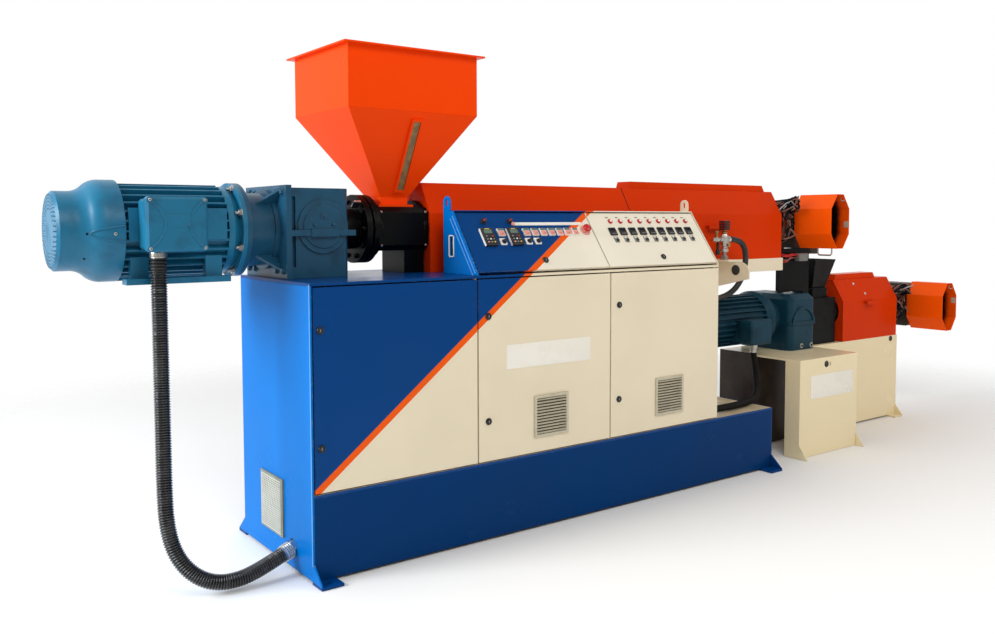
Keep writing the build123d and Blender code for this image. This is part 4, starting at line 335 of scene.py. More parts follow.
# %% Plastics and rubber
def moulded(name, shade, dusty, rough, scale, bump, level=0.45):
    material, wire, shader, place, rounded, worn = start_finish(name, 0.0012)
    fine = grain(wire, place, scale, 2.0)
    dust = grain(wire, place, 14.0, 5.0).step(0.46, 0.74)
    feed(wire, shader, Base_Color=(dust * 0.35 + worn * 0.25).tint(shade, dusty))
    feed(wire, shader, Roughness=rough + dust * 0.12, Specular_IOR_Level=level)
    feed(wire, shader, Normal=relief(wire, fine, rounded, bump, 0.0004))
    return material


white_code = paint_code(238, 236, 230)
yellow_code = paint_code(214, 190, 96)
vent_gap_shade_code = paint_code(132, 134, 122)
slat_code = paint_code(196, 198, 190)
near_black = (0.010, 0.010, 0.011, 1)
shade_black = (0.006, 0.006, 0.006, 1)
rubber = moulded("black_rubber", (0.012, 0.012, 0.013, 1), (0.055, 0.052, 0.048, 1), 0.38, 600.0, 0.2)
# The conduit's pale dust colour also lightens its rib edges: partly dust, partly a painted highlight on the
# ribs.
conduit_plastic = moulded("conduit_plastic", near_black, (0.075, 0.073, 0.070, 1), 0.24, 600.0, 0.05, 0.8)
# The second conduit takes a darker, duller copy of the conduit plastic: painted shade, as it runs in shade.
shaded_conduit = moulded("shaded_conduit", shade_black, (0.020, 0.018, 0.016, 1), 0.5, 600.0, 0.1, 0.15)
vent_plastic = moulded("vent_plastic", paint_code(196, 188, 166), paint_code(140, 130, 108), 0.42, 500.0, 0.1)
# The vent's plate is a darker grey than its white slats: painted shade in the gaps between the slats.
white_vent = moulded("white_vent_plastic", vent_gap_shade_code, paint_code(104, 102, 90), 0.40, 500.0, 0.1, 0.1)
slat_white = moulded("slat_white", slat_code, paint_code(170, 168, 158), 0.40, 500.0, 0.1, 0.1)
black_plastic = moulded("black_plastic", (0.012, 0.012, 0.014, 1), (0.05, 0.05, 0.05, 1), 0.26, 800.0, 0.06)
white_plastic = moulded("white_plastic", white_code, paint_code(196, 192, 182), 0.32, 700.0, 0.05)
red_plastic = moulded("red_plastic", paint_code(186, 26, 24), paint_code(120, 20, 18), 0.22, 700.0, 0.05)
grey_plastic = moulded("grey_plastic", paint_code(128, 128, 124), paint_code(84, 84, 80), 0.36, 700.0, 0.05)
yellow_plastic = moulded("yellow_plastic", yellow_code, paint_code(150, 128, 60), 0.32, 700.0, 0.05)
green_plastic = moulded("green_plastic", paint_code(92, 116, 104), paint_code(60, 78, 70), 0.30, 700.0, 0.05)
bare_plate = moulded("bare_plate", paint_code(240, 236, 226), paint_code(222, 216, 202), 0.22, 300.0, 0.04)
shadow = moulded("deep_shadow", (0.004, 0.008, 0.012, 1), (0.012, 0.020, 0.028, 1), 0.7, 300.0, 0.1, 0.1)
print("plastics done")

# %% [markdown]
# The plinth's deck is cream on top, darker than the bays' cream as painted shade and dusty where nobody
# wipes it, while its front edge was sprayed blue with the plinth. The direction of the surface tells the two
# apart.

# %% Deck paint
deck_paint, wire, shader, place, rounded, worn = start_finish("deck_paint")
level_part = wire.node("ShaderNodeNewGeometry", out="Normal").parts()[2]
dust = grain(wire, place, 9.0, 6.0).step(0.35, 0.75)
pebble = grain(wire, place, 300.0)
# Painted shade: the top's cream is darker than the bays', with dust blotches darker still.
top_cream_painted_shade = (dust * 0.5).tint(paint_code(206, 190, 158), paint_code(140, 122, 94))
feed(wire, shader, Base_Color=(level_part > 0.5).tint(blue_code, top_cream_painted_shade), Roughness=0.3 + dust * 0.2)
feed(wire, shader, Normal=relief(wire, pebble, rounded, 0.12, 0.0005), Specular_IOR_Level=0.2)
print("deck done")

# %% [markdown]
# The two guards stand round hot dies. Behind the bright front edge their insides are painted near black,
# painted shade deep in the guards. The sign of the surface's direction from the guard's middle tells inside
# from outside, and the depth behind the mouth says where the painted shade begins.

# %% Guards with painted shade inside
guard_code = paint_code(255, 90, 3)
guard_middle = (1.5625, 1.492)
lower_guard = (1.44, -0.654)
between_guards = 2.2
shade_begins, shade_full = -0.200, -0.150


def painted_shade_inside(wire, place):
    across, deep, high = place.parts()
    facing, _, facing_up = wire.node("ShaderNodeNewGeometry", out="Normal").parts()
    lower = across > between_guards
    out = across - guard_middle[0] - lower * lower_guard[0]
    rise = high - guard_middle[1] - lower * lower_guard[1]
    inward = (out * facing + rise * facing_up) < 0.0
    edge = grain(wire, place, 40.0) * 0.02
    # Painted shade: inward faces deeper than the mouth turn near black.
    inner_shade = inward * (deep + edge).step(shade_begins, shade_full)
    return inner_shade.tint(guard_code, paint_code(16, 11, 9))


guard_paint = sheet_paint("guard_gloss", painted_shade_inside, 0.08)
# The covers take a darker, redder orange than the guards: partly their own paint, partly painted shade on
# their slopes.
cover_orange_painted_shade = sheet_paint("cover_painted_shade_gloss", paint_code(214, 55, 2), 0.08, level=0.04)
print("guards and covers:", guard_paint.name, cover_orange_painted_shade.name)

# %% [markdown]
# The second base lies in shade below its motor and behind the table, and in the photograph it is nearly
# brown there. That shade is painted: a colour that asks for the place along the machine and for the way a
# face looks turns the base's end dark, and its front as far as the table hides it.

# %% Painted shade on the second base's end
base_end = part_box("second_base")[0].x
table_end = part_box("table")[1].x
end_sheet_thick = 0.004
table_overlap = 0.05


def painted_shade_end(wire, place):
    across = place.parts()[0]
    facing = wire.node("ShaderNodeNewGeometry", out="Normal").parts()[1]
    stain = grain(wire, place, 7.0, 4.0).step(0.35, 0.70)
    # Painted shade: a mottled dark brown for the base's end and for its front behind the table.
    dark = (stain * 0.5).tint(paint_code(46, 37, 32), paint_code(74, 60, 50))
    at_end = across < base_end + end_sheet_thick
    behind_table = (facing < -0.5) * (across < table_end - table_overlap)
    return (1 - (1 - at_end) * (1 - behind_table)).tint(base_code, dark)


base_painted_shade = sheet_paint("shaded_base_gloss", painted_shade_end, 0.03, level=0.2)
print("second base dark up to", round(base_end, 3))

# %% [markdown]
# Now the solids are dressed. The record names a material slot for each one, and a first table turns slots
# into finishes. A second table names the solids that differ from their slot, such as the guards.

# %% Give every solid its finish
finish_of_slot = {
    "blue_paint": blue_paint, "cream_paint": cream_paint, "blue_cream_paint": banded_paint,
    "inner_paint": blue_paint, "deck_paint": deck_paint, "orange_paint": orange_paint,
    "drive_paint": drive_paint, "black_paint": black_casting, "steel": steel, "heater": band_metal,
    "vent_plastic": vent_plastic, "control_plastic": black_plastic, "glass": orange_paint,
    "black_rubber": rubber}
finish_of_node = {
    "bed": banded_paint, "left_end_plate": end_blue_painted_light, "plinth_panels": plinth_blue_painted_shade,
    "left_door": banded_paint, "middle_door": banded_paint, "right_door": banded_paint,
    "right_lid": banded_paint, "console_shell": hood_paint, "console_left_end": end_blue_painted_light,
    "gearbox": gear_paint, "bell_housing": gear_paint, "second_motor": dark_drive,
    "second_gearbox": dark_drive, "second_terminal_box": dark_drive, "barrels": hot_steel,
    "screen_changers": darkest_steel, "transfer_head": darkest_steel, "guard_one": guard_paint,
    "guard_two": guard_paint, "cover_feed_side": cover_orange_painted_shade, "cover_head_side": cover_orange_painted_shade,
    "cover_caps": cover_orange_painted_shade, "second_cover": cover_orange_painted_shade, "handles": cover_orange_painted_shade,
    "second_base": base_painted_shade, "table": base_paint, "end_vent": white_vent, "glands": zinc,
    "guard_handle": zinc}
for entry in frame["record"]["subparts"]:
    solid = nodes[entry["node"]]
    finish = finish_of_node.get(entry["node"], finish_of_slot[entry["material_slot"]])
    solid.data.materials.clear()
    solid.data.materials.append(finish)
print("finished", len(nodes), "solids")

# %% [markdown]
# Two kinds of small shape make most of the detail. A turned shape is a profile spun about an axis, such
# as a bolt, a knob or a lamp. A pressed shape is a flat outline raised in steps, such as a plate, a
# meter or a key. Both write straight into one mesh, so a hundred bolts stay a single piece. A finish is
# given by its number in that piece, and a cap screw takes the next number too, for its dark socket.


# %% Turned and pressed shapes
def turned(mesh, place, axis, profile, sides=20, finish=0, turn=0.0):
    axis = Vector(axis).normalized()
    side = axis.orthogonal().normalized()
    other = axis.cross(side)
    rings = []
    for along, radius in profile:
        ring = []
        for step in range(sides):
            angle = 2 * math.pi * step / sides + turn
            spoke = side * math.cos(angle) + other * math.sin(angle)
            ring.append(mesh.verts.new(Vector(place) + axis * along + spoke * radius))
        rings.append(ring)
    faces = [mesh.faces.new(rings[0][::-1]), mesh.faces.new(rings[-1])]
    for low, high in zip(rings, rings[1:]):
        for step in range(sides):
            after = (step + 1) % sides
            faces.append(mesh.faces.new((low[step], low[after], high[after], high[step])))
    for face in faces:
        face.material_index = finish


def rounded_box(wide, tall, corner, steps=4):
    outline = []
    for quarter, (across, up) in enumerate(((1, 1), (-1, 1), (-1, -1), (1, -1))):
        for step in range(steps + 1):
            angle = math.pi / 2 * (quarter + step / steps)
            outline.append((across * (wide / 2 - corner) + corner * math.cos(angle),
                            up * (tall / 2 - corner) + corner * math.sin(angle)))
    return outline


def pressed(mesh, place, right, up, wide, tall, corner, levels, finish=0):
    right = Vector(right).normalized()
    up = Vector(up).normalized()
    normal = right.cross(up)
    rings = []
    for height, inset in levels:
        outline = rounded_box(wide - 2 * inset, tall - 2 * inset, max(corner - inset, 0.0002))
        rings.append([mesh.verts.new(Vector(place) + right * u + up * v + normal * height)
                      for u, v in outline])
    faces = [mesh.faces.new(rings[0][::-1]), mesh.faces.new(rings[-1])]
    count = len(rings[0])
    for low, high in zip(rings, rings[1:]):
        for step in range(count):
            after = (step + 1) % count
            faces.append(mesh.faces.new((low[step], low[after], high[after], high[step])))
    for face in faces:
        face.material_index = finish


def add_piece(name, body, mesh, *finishes, sharp=35):
    mesh.normal_update()
    data = bpy.data.meshes.new(name)
    mesh.to_mesh(data)
    mesh.free()
    for finish in finishes:
        data.materials.append(finish)
    data.shade_smooth()
    data.set_sharp_from_angle(angle=math.radians(sharp))
    made = bpy.data.objects.new(name, data)
    bpy.context.scene.collection.objects.link(made)
    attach(made, body)
    print(name, len(data.polygons), "faces")
    return made


def hex_bolt(mesh, place, axis, across, finish=0, turn=0.3):
    half = across / 2
    washer = [(-0.002, half * 1.45), (0.0025, half * 1.45), (0.003, half * 1.35)]
    head = [(0.002, half * 1.12), (0.010, half * 1.12), (0.0125, half * 0.92)]
    turned(mesh, place, axis, washer, 18, finish)
    turned(mesh, place, axis, head, 6, finish, turn)


def cap_screw(mesh, place, axis, radius, finish=0):
    head = [(-0.002, radius), (radius * 0.7, radius), (radius * 0.85, radius * 0.85)]
    socket = [(radius * 0.8, radius * 0.5), (radius * 0.87, radius * 0.48)]
    turned(mesh, place, axis, head, 14, finish)
    turned(mesh, place, axis, socket, 6, finish + 1)


# %% [markdown]
# Corrugated conduit is a plastic hose with close ribs, so its outline is a row of small waves. We draw
# the route as a smooth spline through listed points, read the spline back as a fine line, and sweep
# a ring along it whose radius rises and falls with the distance run. The line has to be much finer than
# the ribs, or they come out uneven. The plain hose is the same spline with a round bevel.


# %% Cord routes
def route(name, points, fineness):
    line = bpy.data.curves.new(name, "CURVE")
    line.dimensions = "3D"
    spline = line.splines.new("NURBS")
    spline.points.add(len(points) - 1)
    for knot, point in zip(spline.points, points):
        knot.co = (*point, 1.0)
    spline.order_u = 3
    spline.use_endpoint_u = True
    line.resolution_u = fineness
    made = bpy.data.objects.new(name, line)
    bpy.context.scene.collection.objects.link(made)
    return made


def ribbed_tube(name, points, radius, pitch, depth, body, finish, sides=20, fineness=160):
    guide = route(name + "_guide", points, fineness)
    fine = bpy.data.meshes.new_from_object(guide)
    spots = [vert.co.copy() for vert in fine.vertices]
    bpy.data.objects.remove(guide)
    bpy.data.meshes.remove(fine)
    mesh = bmesh.new()
    side = (spots[1] - spots[0]).orthogonal().normalized()
    angles = [2 * math.pi * step / sides for step in range(sides)]
    rings = []
    run = 0.0
    for place, spot in enumerate(spots):
        ahead = spots[min(place + 1, len(spots) - 1)] - spots[max(place - 1, 0)]
        run += (spot - spots[place - 1]).length if place else 0.0
        ahead.normalize()
        side = (side - ahead * side.dot(ahead)).normalized()
        other = ahead.cross(side)
        wave = 0.5 + 0.5 * math.cos(2 * math.pi * run / pitch)
        bulge = radius - depth * (1 - wave ** 0.6)
        rings.append([mesh.verts.new(spot + bulge * (side * math.cos(a) + other * math.sin(a)))
                      for a in angles])
    for low, high in zip(rings, rings[1:]):
        for step in range(sides):
            after = (step + 1) % sides
            mesh.faces.new((low[step], low[after], high[after], high[step]))
    mesh.faces.new(rings[0][::-1])
    mesh.faces.new(rings[-1])
    print(name, "route", round(run, 3), "m")
    return add_piece(name, body, mesh, finish, sharp=60)


main_points = [
    (-2.806, -0.0955, 1.307), (-2.805, -0.0955, 1.070), (-2.806, -0.1000, 0.835), (-2.809, -0.1130, 0.620),
    (-2.814, -0.1320, 0.440), (-2.816, -0.1550, 0.300), (-2.796, -0.1850, 0.186), (-2.744, -0.2150, 0.102),
    (-2.664, -0.2360, 0.050), (-2.566, -0.2420, 0.040), (-2.464, -0.2310, 0.058), (-2.3544, -0.2004, 0.0862)]
second_points = [
    (0.893, -0.0875, 0.656), (0.901, -0.0955, 0.575), (0.881, -0.1255, 0.495), (0.821, -0.1795, 0.435),
    (0.723, -0.2375, 0.404), (0.603, -0.2795, 0.400), (0.478, -0.3015, 0.400), (0.363, -0.310, 0.401),
    (0.258, -0.310, 0.402)]
hose_points = [
    (0.612, -0.125, 1.385), (0.678, -0.124, 1.382), (0.742, -0.120, 1.349), (0.776, -0.112, 1.285),
    (0.780, -0.102, 1.205), (0.762, -0.088, 1.125), (0.714, -0.072, 1.060), (0.638, -0.052, 1.021),
    (0.542, -0.030, 1.009), (0.437, -0.008, 1.011), (0.342, 0.012, 1.026), (0.258, 0.028, 1.024)]
main_tube = ribbed_tube("main_conduit_ribs", main_points, 0.0325, 0.0105, 0.0065, "machine", conduit_plastic)
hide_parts("main_conduit")
second_tube = ribbed_tube("second_conduit_ribs", second_points, 0.021, 0.009, 0.003, "machine", shaded_conduit)
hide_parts("second_conduit")
hose = route("valve_hose_bend", hose_points, 12)
hose.data.bevel_depth = 0.018
hose.data.bevel_resolution = 6
hose.data.use_fill_caps = True
hose.data.materials.append(rubber)
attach(hose, "machine")
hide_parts("valve_hose")

# %% [markdown]
# A gland is the clamp at each end of a conduit: a hexagon and a threaded ring. One function turns it along
# any direction. Under the motor's box the ribs begin right below the ring, as they do on the real motor,
# so a short ribbed sleeve covers the long neck of the solid.


# %% Glands
def gland(mesh, place, axis, length, radius):
    nut = [(0, radius + 0.004), (0.3 * length, radius + 0.004), (0.34 * length, radius + 0.001)]
    turned(mesh, place, axis, nut, 6, 0)
    ring = [(0.3 * length, radius + 0.002)]
    for thread in range(4):
        start = (0.36 + 0.14 * thread) * length
        crest = start + 0.06 * length
        ring += [(start, radius + 0.003), (crest, radius + 0.003), (start + 0.08 * length, radius)]
    turned(mesh, place, axis, ring + [(length, radius)], 28, 0)


leftward, forward, down = (-1, 0, 0), (0, -1, 0), (0, 0, -1)
box_under, sleeve_top, second_box_under = 1.392, 1.358, 0.706
cabinet_right = 0.198
fold_pitch = 0.013
mesh = bmesh.new()
gland(mesh, (main_points[0][0], main_points[0][1], box_under), down, 0.036, 0.031)
sleeve = []
for fold in range(4):
    top = fold_pitch * fold
    sleeve += [(top, 0.032), (top + 0.005, 0.032), (top + 0.009, 0.0265)]
turned(mesh, (main_points[0][0], main_points[0][1], sleeve_top), down, sleeve + [(0.053, 0.032)], 24, 1)
entry = Vector(main_points[-1])
inward = (entry - Vector(main_points[-2])).normalized()
entry_length = 0.072
gland(mesh, entry + inward * entry_length, -inward, entry_length, 0.034)
gland(mesh, (second_points[0][0], second_points[0][1], second_box_under), down, 0.050, 0.022)
gland(mesh, (cabinet_right, second_points[-1][1], second_points[-1][2]), (1, 0, 0), 0.060, 0.022)
gland(mesh, (cabinet_right, hose_points[-1][1], hose_points[-1][2]), (1, 0, 0), 0.060, 0.019)
gland_piece = add_piece("conduit_glands", "machine", mesh, zinc, rubber)
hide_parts("glands")

# %% [markdown]
# The control desk has two lids that slope back by the same angle. Working in the lid's own directions,
# along the desk and up the slope, turns a tilted layout into a flat one. A place on the desk is then two
# numbers, and a third says how far it stands proud of the sheet.

# %% The desk's own directions
along_desk = Vector((1, 0, 0))
up_desk = Vector((0, 205, 283)).normalized()
desk_foot = Vector((0, -0.385, 1.258))
desk_face = along_desk.cross(up_desk)


def on_desk(along, up, proud=0.0):
    return desk_foot + along_desk * along + up_desk * up + desk_face * proud


def desk_plate(mesh, place, size, corner, levels, finish, tilt=0.0):
    right = along_desk + up_desk * tilt
    up = up_desk - along_desk * tilt
    pressed(mesh, on_desk(*place), right, up, *size, corner, levels, finish)


def desk_knob(mesh, place, profile, sides, finish):
    turned(mesh, on_desk(*place), desk_face, profile, sides, finish)


print("the desk leans back by", round(math.degrees(math.asin(up_desk.y)), 1), "degrees")

# %% [markdown]
# The left lid carries the drive controls: two selector knobs, two keypads, ammeters, rotary switches and
# the red mushroom stop. Each kind is a small stack of plates and knobs, so each kind is one function. A
# control's finish is a number, its place in the row of plastics that the finished piece is given.

# %% Kinds of control
black, white, red, green, grey, rose, yellow = range(7)
key_colours = (grey, black, red, grey, white, green, rose, grey, yellow)


def selector(mesh, along, up=0.294):
    knob = [(-0.002, 0.015), (0.004, 0.015), (0.006, 0.0125), (0.017, 0.0115), (0.0185, 0.010)]
    bar = [(0, 0), (0.005, 0), (0.006, 0.001)]
    desk_knob(mesh, (along, up), knob, 24, black)
    desk_plate(mesh, (along, up, 0.016), (0.021, 0.006), 0.002, bar, red, 0.4)


def keypad(mesh, along, up=0.200):
    case = [(-0.002, 0), (0.014, 0), (0.0165, 0.002)]
    key = [(0, 0), (0.0016, 0), (0.0022, 0.001)]
    side = on_desk(along - 0.036, up, 0.006)
    desk_plate(mesh, (along, up), (0.072, 0.100), 0.005, case, black)
    pressed(mesh, side, up_desk, desk_face, 0.098, 0.012, 0.002, [(-0.001, 0), (0.002, 0)], white)
    desk_plate(mesh, (along, up, 0.016), (0.064, 0.092), 0.003, [(0, 0), (0.0012, 0)], black)
    desk_plate(mesh, (along, up + 0.0265, 0.0168), (0.046, 0.022), 0.002, [(0, 0), (0.0012, 0.0004)], green)
    desk_plate(mesh, (along, up + 0.042, 0.0168), (0.026, 0.005), 0.001, [(0, 0), (0.0010, 0.0002)], yellow)
    for number, colour in enumerate(key_colours):
        row, column = divmod(number, 3)
        spot = (along - 0.018 + 0.018 * column, up - 0.017 * row, 0.0168)
        desk_plate(mesh, spot, (0.009, 0.007), 0.002, key, colour)


def ammeter(mesh, along, up=0.229):
    case = [(-0.002, 0), (0.007, 0), (0.009, 0.0015)]
    film = [(0, 0), (0.001, 0)]
    needle = (along + 0.004, up - 0.010, 0.0095)
    desk_plate(mesh, (along, up), (0.040, 0.044), 0.003, case, white)
    desk_plate(mesh, (along, up + 0.014, 0.0085), (0.034, 0.012), 0.001, film, green)
    desk_plate(mesh, (along, up - 0.007, 0.0085), (0.033, 0.026), 0.001, film, rose)
    desk_plate(mesh, needle, (0.018, 0.0014), 0.0004, [(0, 0), (0.0008, 0)], red, 0.5)


def rotary_switch(mesh, along, up=0.176):
    plate = [(-0.002, 0), (0.004, 0), (0.006, 0.0015)]
    knob = [(0, 0.013), (0.003, 0.013), (0.004, 0.010), (0.014, 0.009), (0.015, 0.007)]
    bar = (along + 0.003, up - 0.002, 0.018)
    desk_plate(mesh, (along, up), (0.038, 0.038), 0.003, plate, white)
    desk_knob(mesh, (along + 0.003, up - 0.002, 0.005), knob, 20, black)
    desk_plate(mesh, bar, (0.020, 0.005), 0.001, [(0, 0), (0.003, 0.0006)], black, 1.0)


print("keypad with", len(key_colours), "keys")

# %% [markdown]
# The places below were read off the desk in metres, along the machine and up the slope. A pale strip runs
# over the ammeters with one lamp at its left end, and the stop sits apart where a hand finds it.

# %% The left lid's controls
rose_face = moulded("meter_face", paint_code(226, 150, 138), paint_code(190, 110, 100), 0.30, 700.0, 0.04)
strip = [(-0.001, 0), (0.0022, 0), (0.0028, 0.0008)]
strip_lamp = [(-0.001, 0.011), (0.006, 0.011), (0.009, 0.008), (0.010, 0.003)]
collar = [(-0.002, 0.030), (0.003, 0.030), (0.005, 0.027), (0.006, 0.016), (0.016, 0.015)]
mushroom = [
    (0.014, 0.018), (0.020, 0.0225), (0.026, 0.0225), (0.031, 0.019), (0.034, 0.010), (0.0345, 0.003)]
panel = bmesh.new()
for along in (-1.313, -1.157):
    selector(panel, along)
for along in (-1.322, -1.166):
    keypad(panel, along)
desk_plate(panel, (-0.919, 0.281), (0.452, 0.018), 0.002, strip, white)
desk_knob(panel, (-1.140, 0.281), strip_lamp, 20, rose)
for along in [-1.236] + [-1.080 + 0.053 * step for step in range(7)]:
    ammeter(panel, along)
for along in (-1.244, -1.089, -1.033):
    rotary_switch(panel, along)
desk_knob(panel, (-0.687, 0.239), collar, 28, rose)
desk_knob(panel, (-0.687, 0.239), mushroom, 28, red)
both_lids = (black_plastic, white_plastic, red_plastic, green_plastic, grey_plastic)
left_panel = add_piece("left_desk_controls", "left_lid", panel, *both_lids, rose_face, yellow_plastic)
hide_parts("left_controls")

# %% [markdown]
# The right lid holds nine heater zones. Each has a lamp with a red rim and a milky centre, a black
# temperature controller with a dark window, and a small grey switch plate. A loop over nine zones lays
# them out with the pitch measured on the desk.

# %% The right lid's controls
window = 5
zone_pitch = 0.0732
lamp_start, box_start = -0.4808, -0.4968
rim = [(-0.002, 0.0145), (0.004, 0.0145), (0.009, 0.0125), (0.010, 0.0085)]
lens = [(0, 0.0085), (0.003, 0.0080), (0.0055, 0.0055), (0.0062, 0.002)]
controller = [(-0.002, 0), (0.006, 0), (0.008, 0.0015)]
switch_plate = [(-0.002, 0), (0.003, 0), (0.004, 0.001)]
switch_knob = [(0, 0.009), (0.006, 0.008), (0.007, 0.006)]
film = [(0, 0), (0.0008, 0)]
panel = bmesh.new()
for zone in range(9):
    lamp_along = lamp_start + zone_pitch * zone
    box_along = box_start + zone_pitch * zone
    desk_knob(panel, (lamp_along, 0.294), rim, 24, red)
    desk_knob(panel, (lamp_along, 0.294, 0.008), lens, 20, white)
    desk_plate(panel, (lamp_along - 0.012, 0.321), (0.020, 0.006), 0.001, [(-0.001, 0), (0.0008, 0)], grey)
    desk_plate(panel, (box_along, 0.227), (0.048, 0.048), 0.003, controller, black)
    desk_plate(panel, (box_along, 0.236, 0.0078), (0.036, 0.015), 0.001, film, window)
    for column in range(4):
        spot = (box_along - 0.0135 + 0.009 * column, 0.212, 0.0078)
        desk_plate(panel, spot, (0.006, 0.005), 0.001, [(0, 0), (0.0012, 0.0003)], grey)
    desk_plate(panel, (box_along + 0.001, 0.176), (0.030, 0.036), 0.002, switch_plate, grey)
    desk_knob(panel, (box_along + 0.004, 0.171, 0.004), switch_knob, 16, black)
    desk_plate(panel, (box_along - 0.004, 0.187, 0.004), (0.016, 0.007), 0.001, film, white)
right_panel = add_piece("right_desk_controls", "right_lid", panel, *both_lids, shadow)
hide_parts("right_controls")

# %% [markdown]
# Each door is held by two quarter-turn locks: a black bush with a domed rim and a key slot. The lids have
# one each. They are made once as a function and placed by body, because a lock must swing with its door.


# %% Locks
def lock(mesh, place, right, up):
    facing = Vector(right).cross(Vector(up))
    bush = [(-0.003, 0.0165), (0.004, 0.0165), (0.007, 0.0145), (0.0075, 0.011), (0.005, 0.010)]
    turned(mesh, place, facing, bush, 28, 0)
    turned(mesh, Vector(place) + facing * 0.003, facing, [(0, 0.0095), (0.0035, 0.009)], 20, 0)
    pressed(mesh, Vector(place) + facing * 0.006, right, up, 0.004, 0.014, 0.0015, [(0, 0), (0.0015, 0)], 1)


door_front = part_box("left_door")[0].y
upright = Vector((0, 0, 1))
for body, along, heights in (("left_door", -2.252, (1.055, 0.564)), ("middle_door", -1.406, (1.059, 0.566)),
                             ("right_door", -0.573, (1.066, 0.573))):
    mesh = bmesh.new()
    for high in heights:
        lock(mesh, (along, door_front, high), along_desk, upright)
    add_piece(body + "_locks", body, mesh, black_plastic, grey_plastic)
for body, along, up in (("left_lid", -1.034, 0.063), ("right_lid", -0.214, 0.058)):
    mesh = bmesh.new()
    lock(mesh, on_desk(along, up), along_desk, up_desk)
    add_piece(body + "_lock", body, mesh, black_plastic, grey_plastic)

# %% [markdown]
# Two thin vinyl plates are bare, one on the middle door and one on the table. Only their rim and their
# cleaner white set them off from the cream paint.

# %% Bare plates
vinyl = [(-0.001, 0), (0.0012, 0), (0.0016, 0.0006)]
table_front = -0.365
mesh = bmesh.new()
pressed(mesh, (-1.0365, door_front, 0.8585), along_desk, upright, 0.529, 0.117, 0.004, vinyl)
add_piece("door_plate", "middle_door", mesh, bare_plate)
mesh = bmesh.new()
pressed(mesh, (1.342, table_front, 0.441), along_desk, upright, 0.46, 0.150, 0.004, vinyl)
add_piece("table_plate", "machine", mesh, bare_plate)

# %% [markdown]
# The motor's fan cowl is spun sheet steel. Air enters through rings of small holes near the rim of its
# end. Every second ring is turned by half a step, as in a pressed sheet.

# %% Cowl holes
cowl_low, cowl_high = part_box("motor_cowl")
axis_y = (cowl_low.y + cowl_high.y) / 2
axis_z = (cowl_low.z + cowl_high.z) / 2


def on_circle(along, radius, angle):
    return (along, axis_y + radius * math.cos(angle), axis_z + radius * math.sin(angle))


mesh = bmesh.new()
for ring, radius in enumerate((0.090, 0.104, 0.118, 0.132, 0.144)):
    count = 26 + 5 * ring
    for step in range(count):
        angle = 2 * math.pi * (step + 0.5 * (ring % 2)) / count
        spot = on_circle(cowl_low.x, radius, angle)
        turned(mesh, spot, leftward, [(-0.001, 0.0034), (0.0004, 0.0034)], 8)
add_piece("cowl_holes", "machine", mesh, shadow)

# %% [markdown]
# A pressed teardrop on the cowl's side takes the screw that holds it. It is a row of small domes set so
# close that they run together. A ray shot from the front finds where each one sits on the curved sheet
# and which way the sheet looks there.


# %% Cowl teardrop
def touch(node, along, high):
    spot, normal = nodes[node].ray_cast(Vector((along, -2.0, high)), Vector((0, 1, 0)))[1:3]
    return spot, normal


domes = 70
teardrop_level = axis_z - 0.010
teardrop_long, teardrop_half = 0.118, 0.031
mesh = bmesh.new()
for step in range(domes):
    share = step / (domes - 1)
    along = cowl_high.x - 0.004 - teardrop_long * (1 - share * share)
    for side in (-1, 1):
        spot, normal = touch("motor_cowl", along, teardrop_level + side * teardrop_half * share ** 0.9)
        turned(mesh, spot, normal, [(-0.002, 0.0056), (0.0026, 0.0046), (0.0042, 0.0022)], 8)
spot, normal = touch("motor_cowl", cowl_high.x - 0.040, teardrop_level)
cap_screw(mesh, spot, normal, 0.0065, 1)
for along, high in ((cowl_high.x - 0.136, teardrop_level), (cowl_high.x - 0.140, axis_z - 0.108)):
    spot, normal = touch("motor_cowl", along, high)
    turned(mesh, spot, normal, [(-0.002, 0.005), (0.001, 0.0048), (0.0018, 0.003)], 12, 2)
add_piece("cowl_teardrop", "machine", mesh, drive_paint, zinc, shadow)

# %% [markdown]
# The lid of the terminal box has two bowed beads, a screw in an ear at each corner and a bare raised plate
# between the beads.

# %% Terminal box lid
domes = 54
bead = [(-0.002, 0.0058), (0.0030, 0.0046), (0.0044, 0.0020)]
box_low, box_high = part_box("terminal_box")
box_middle = (box_low.x + box_high.x) / 2
box_level = (box_low.z + box_high.z) / 2
mesh = bmesh.new()
for side in (-1, 1):
    for step in range(domes):
        share = step / (domes - 1) * 2 - 1
        bow = 0.098 - 0.052 * (1 - share * share)
        spot = (box_middle + side * bow, box_low.y, box_level + 0.088 * share)
        turned(mesh, spot, forward, bead, 8)
    for level in (-1, 1):
        ear = Vector((box_middle + side * 0.106, box_low.y, box_level + level * 0.095))
        turned(mesh, ear, forward, [(-0.004, 0.0125), (0.002, 0.0120), (0.003, 0.0100)], 18)
        cap_screw(mesh, ear + Vector((0, -0.002, 0)), forward, 0.006, 1)
lid_plate = [(-0.001, 0), (0.0012, 0), (0.002, 0.001)]
lid_spot = (box_middle, box_low.y, box_level + 0.012)
pressed(mesh, lid_spot, along_desk, upright, 0.096, 0.052, 0.004, lid_plate)
add_piece("terminal_lid_beads", "machine", mesh, drive_paint, zinc, shadow)

# %% [markdown]
# Bolts tell the eye how big the castings are. Nuts on studs sit on a circle round the motor's flange, and
# hexagon heads on washers in the gearbox plate and on the coupling. The feed throat has socket screws, the
# gearbox has three plugs on its front, and a small block sits on the coupling's rim.

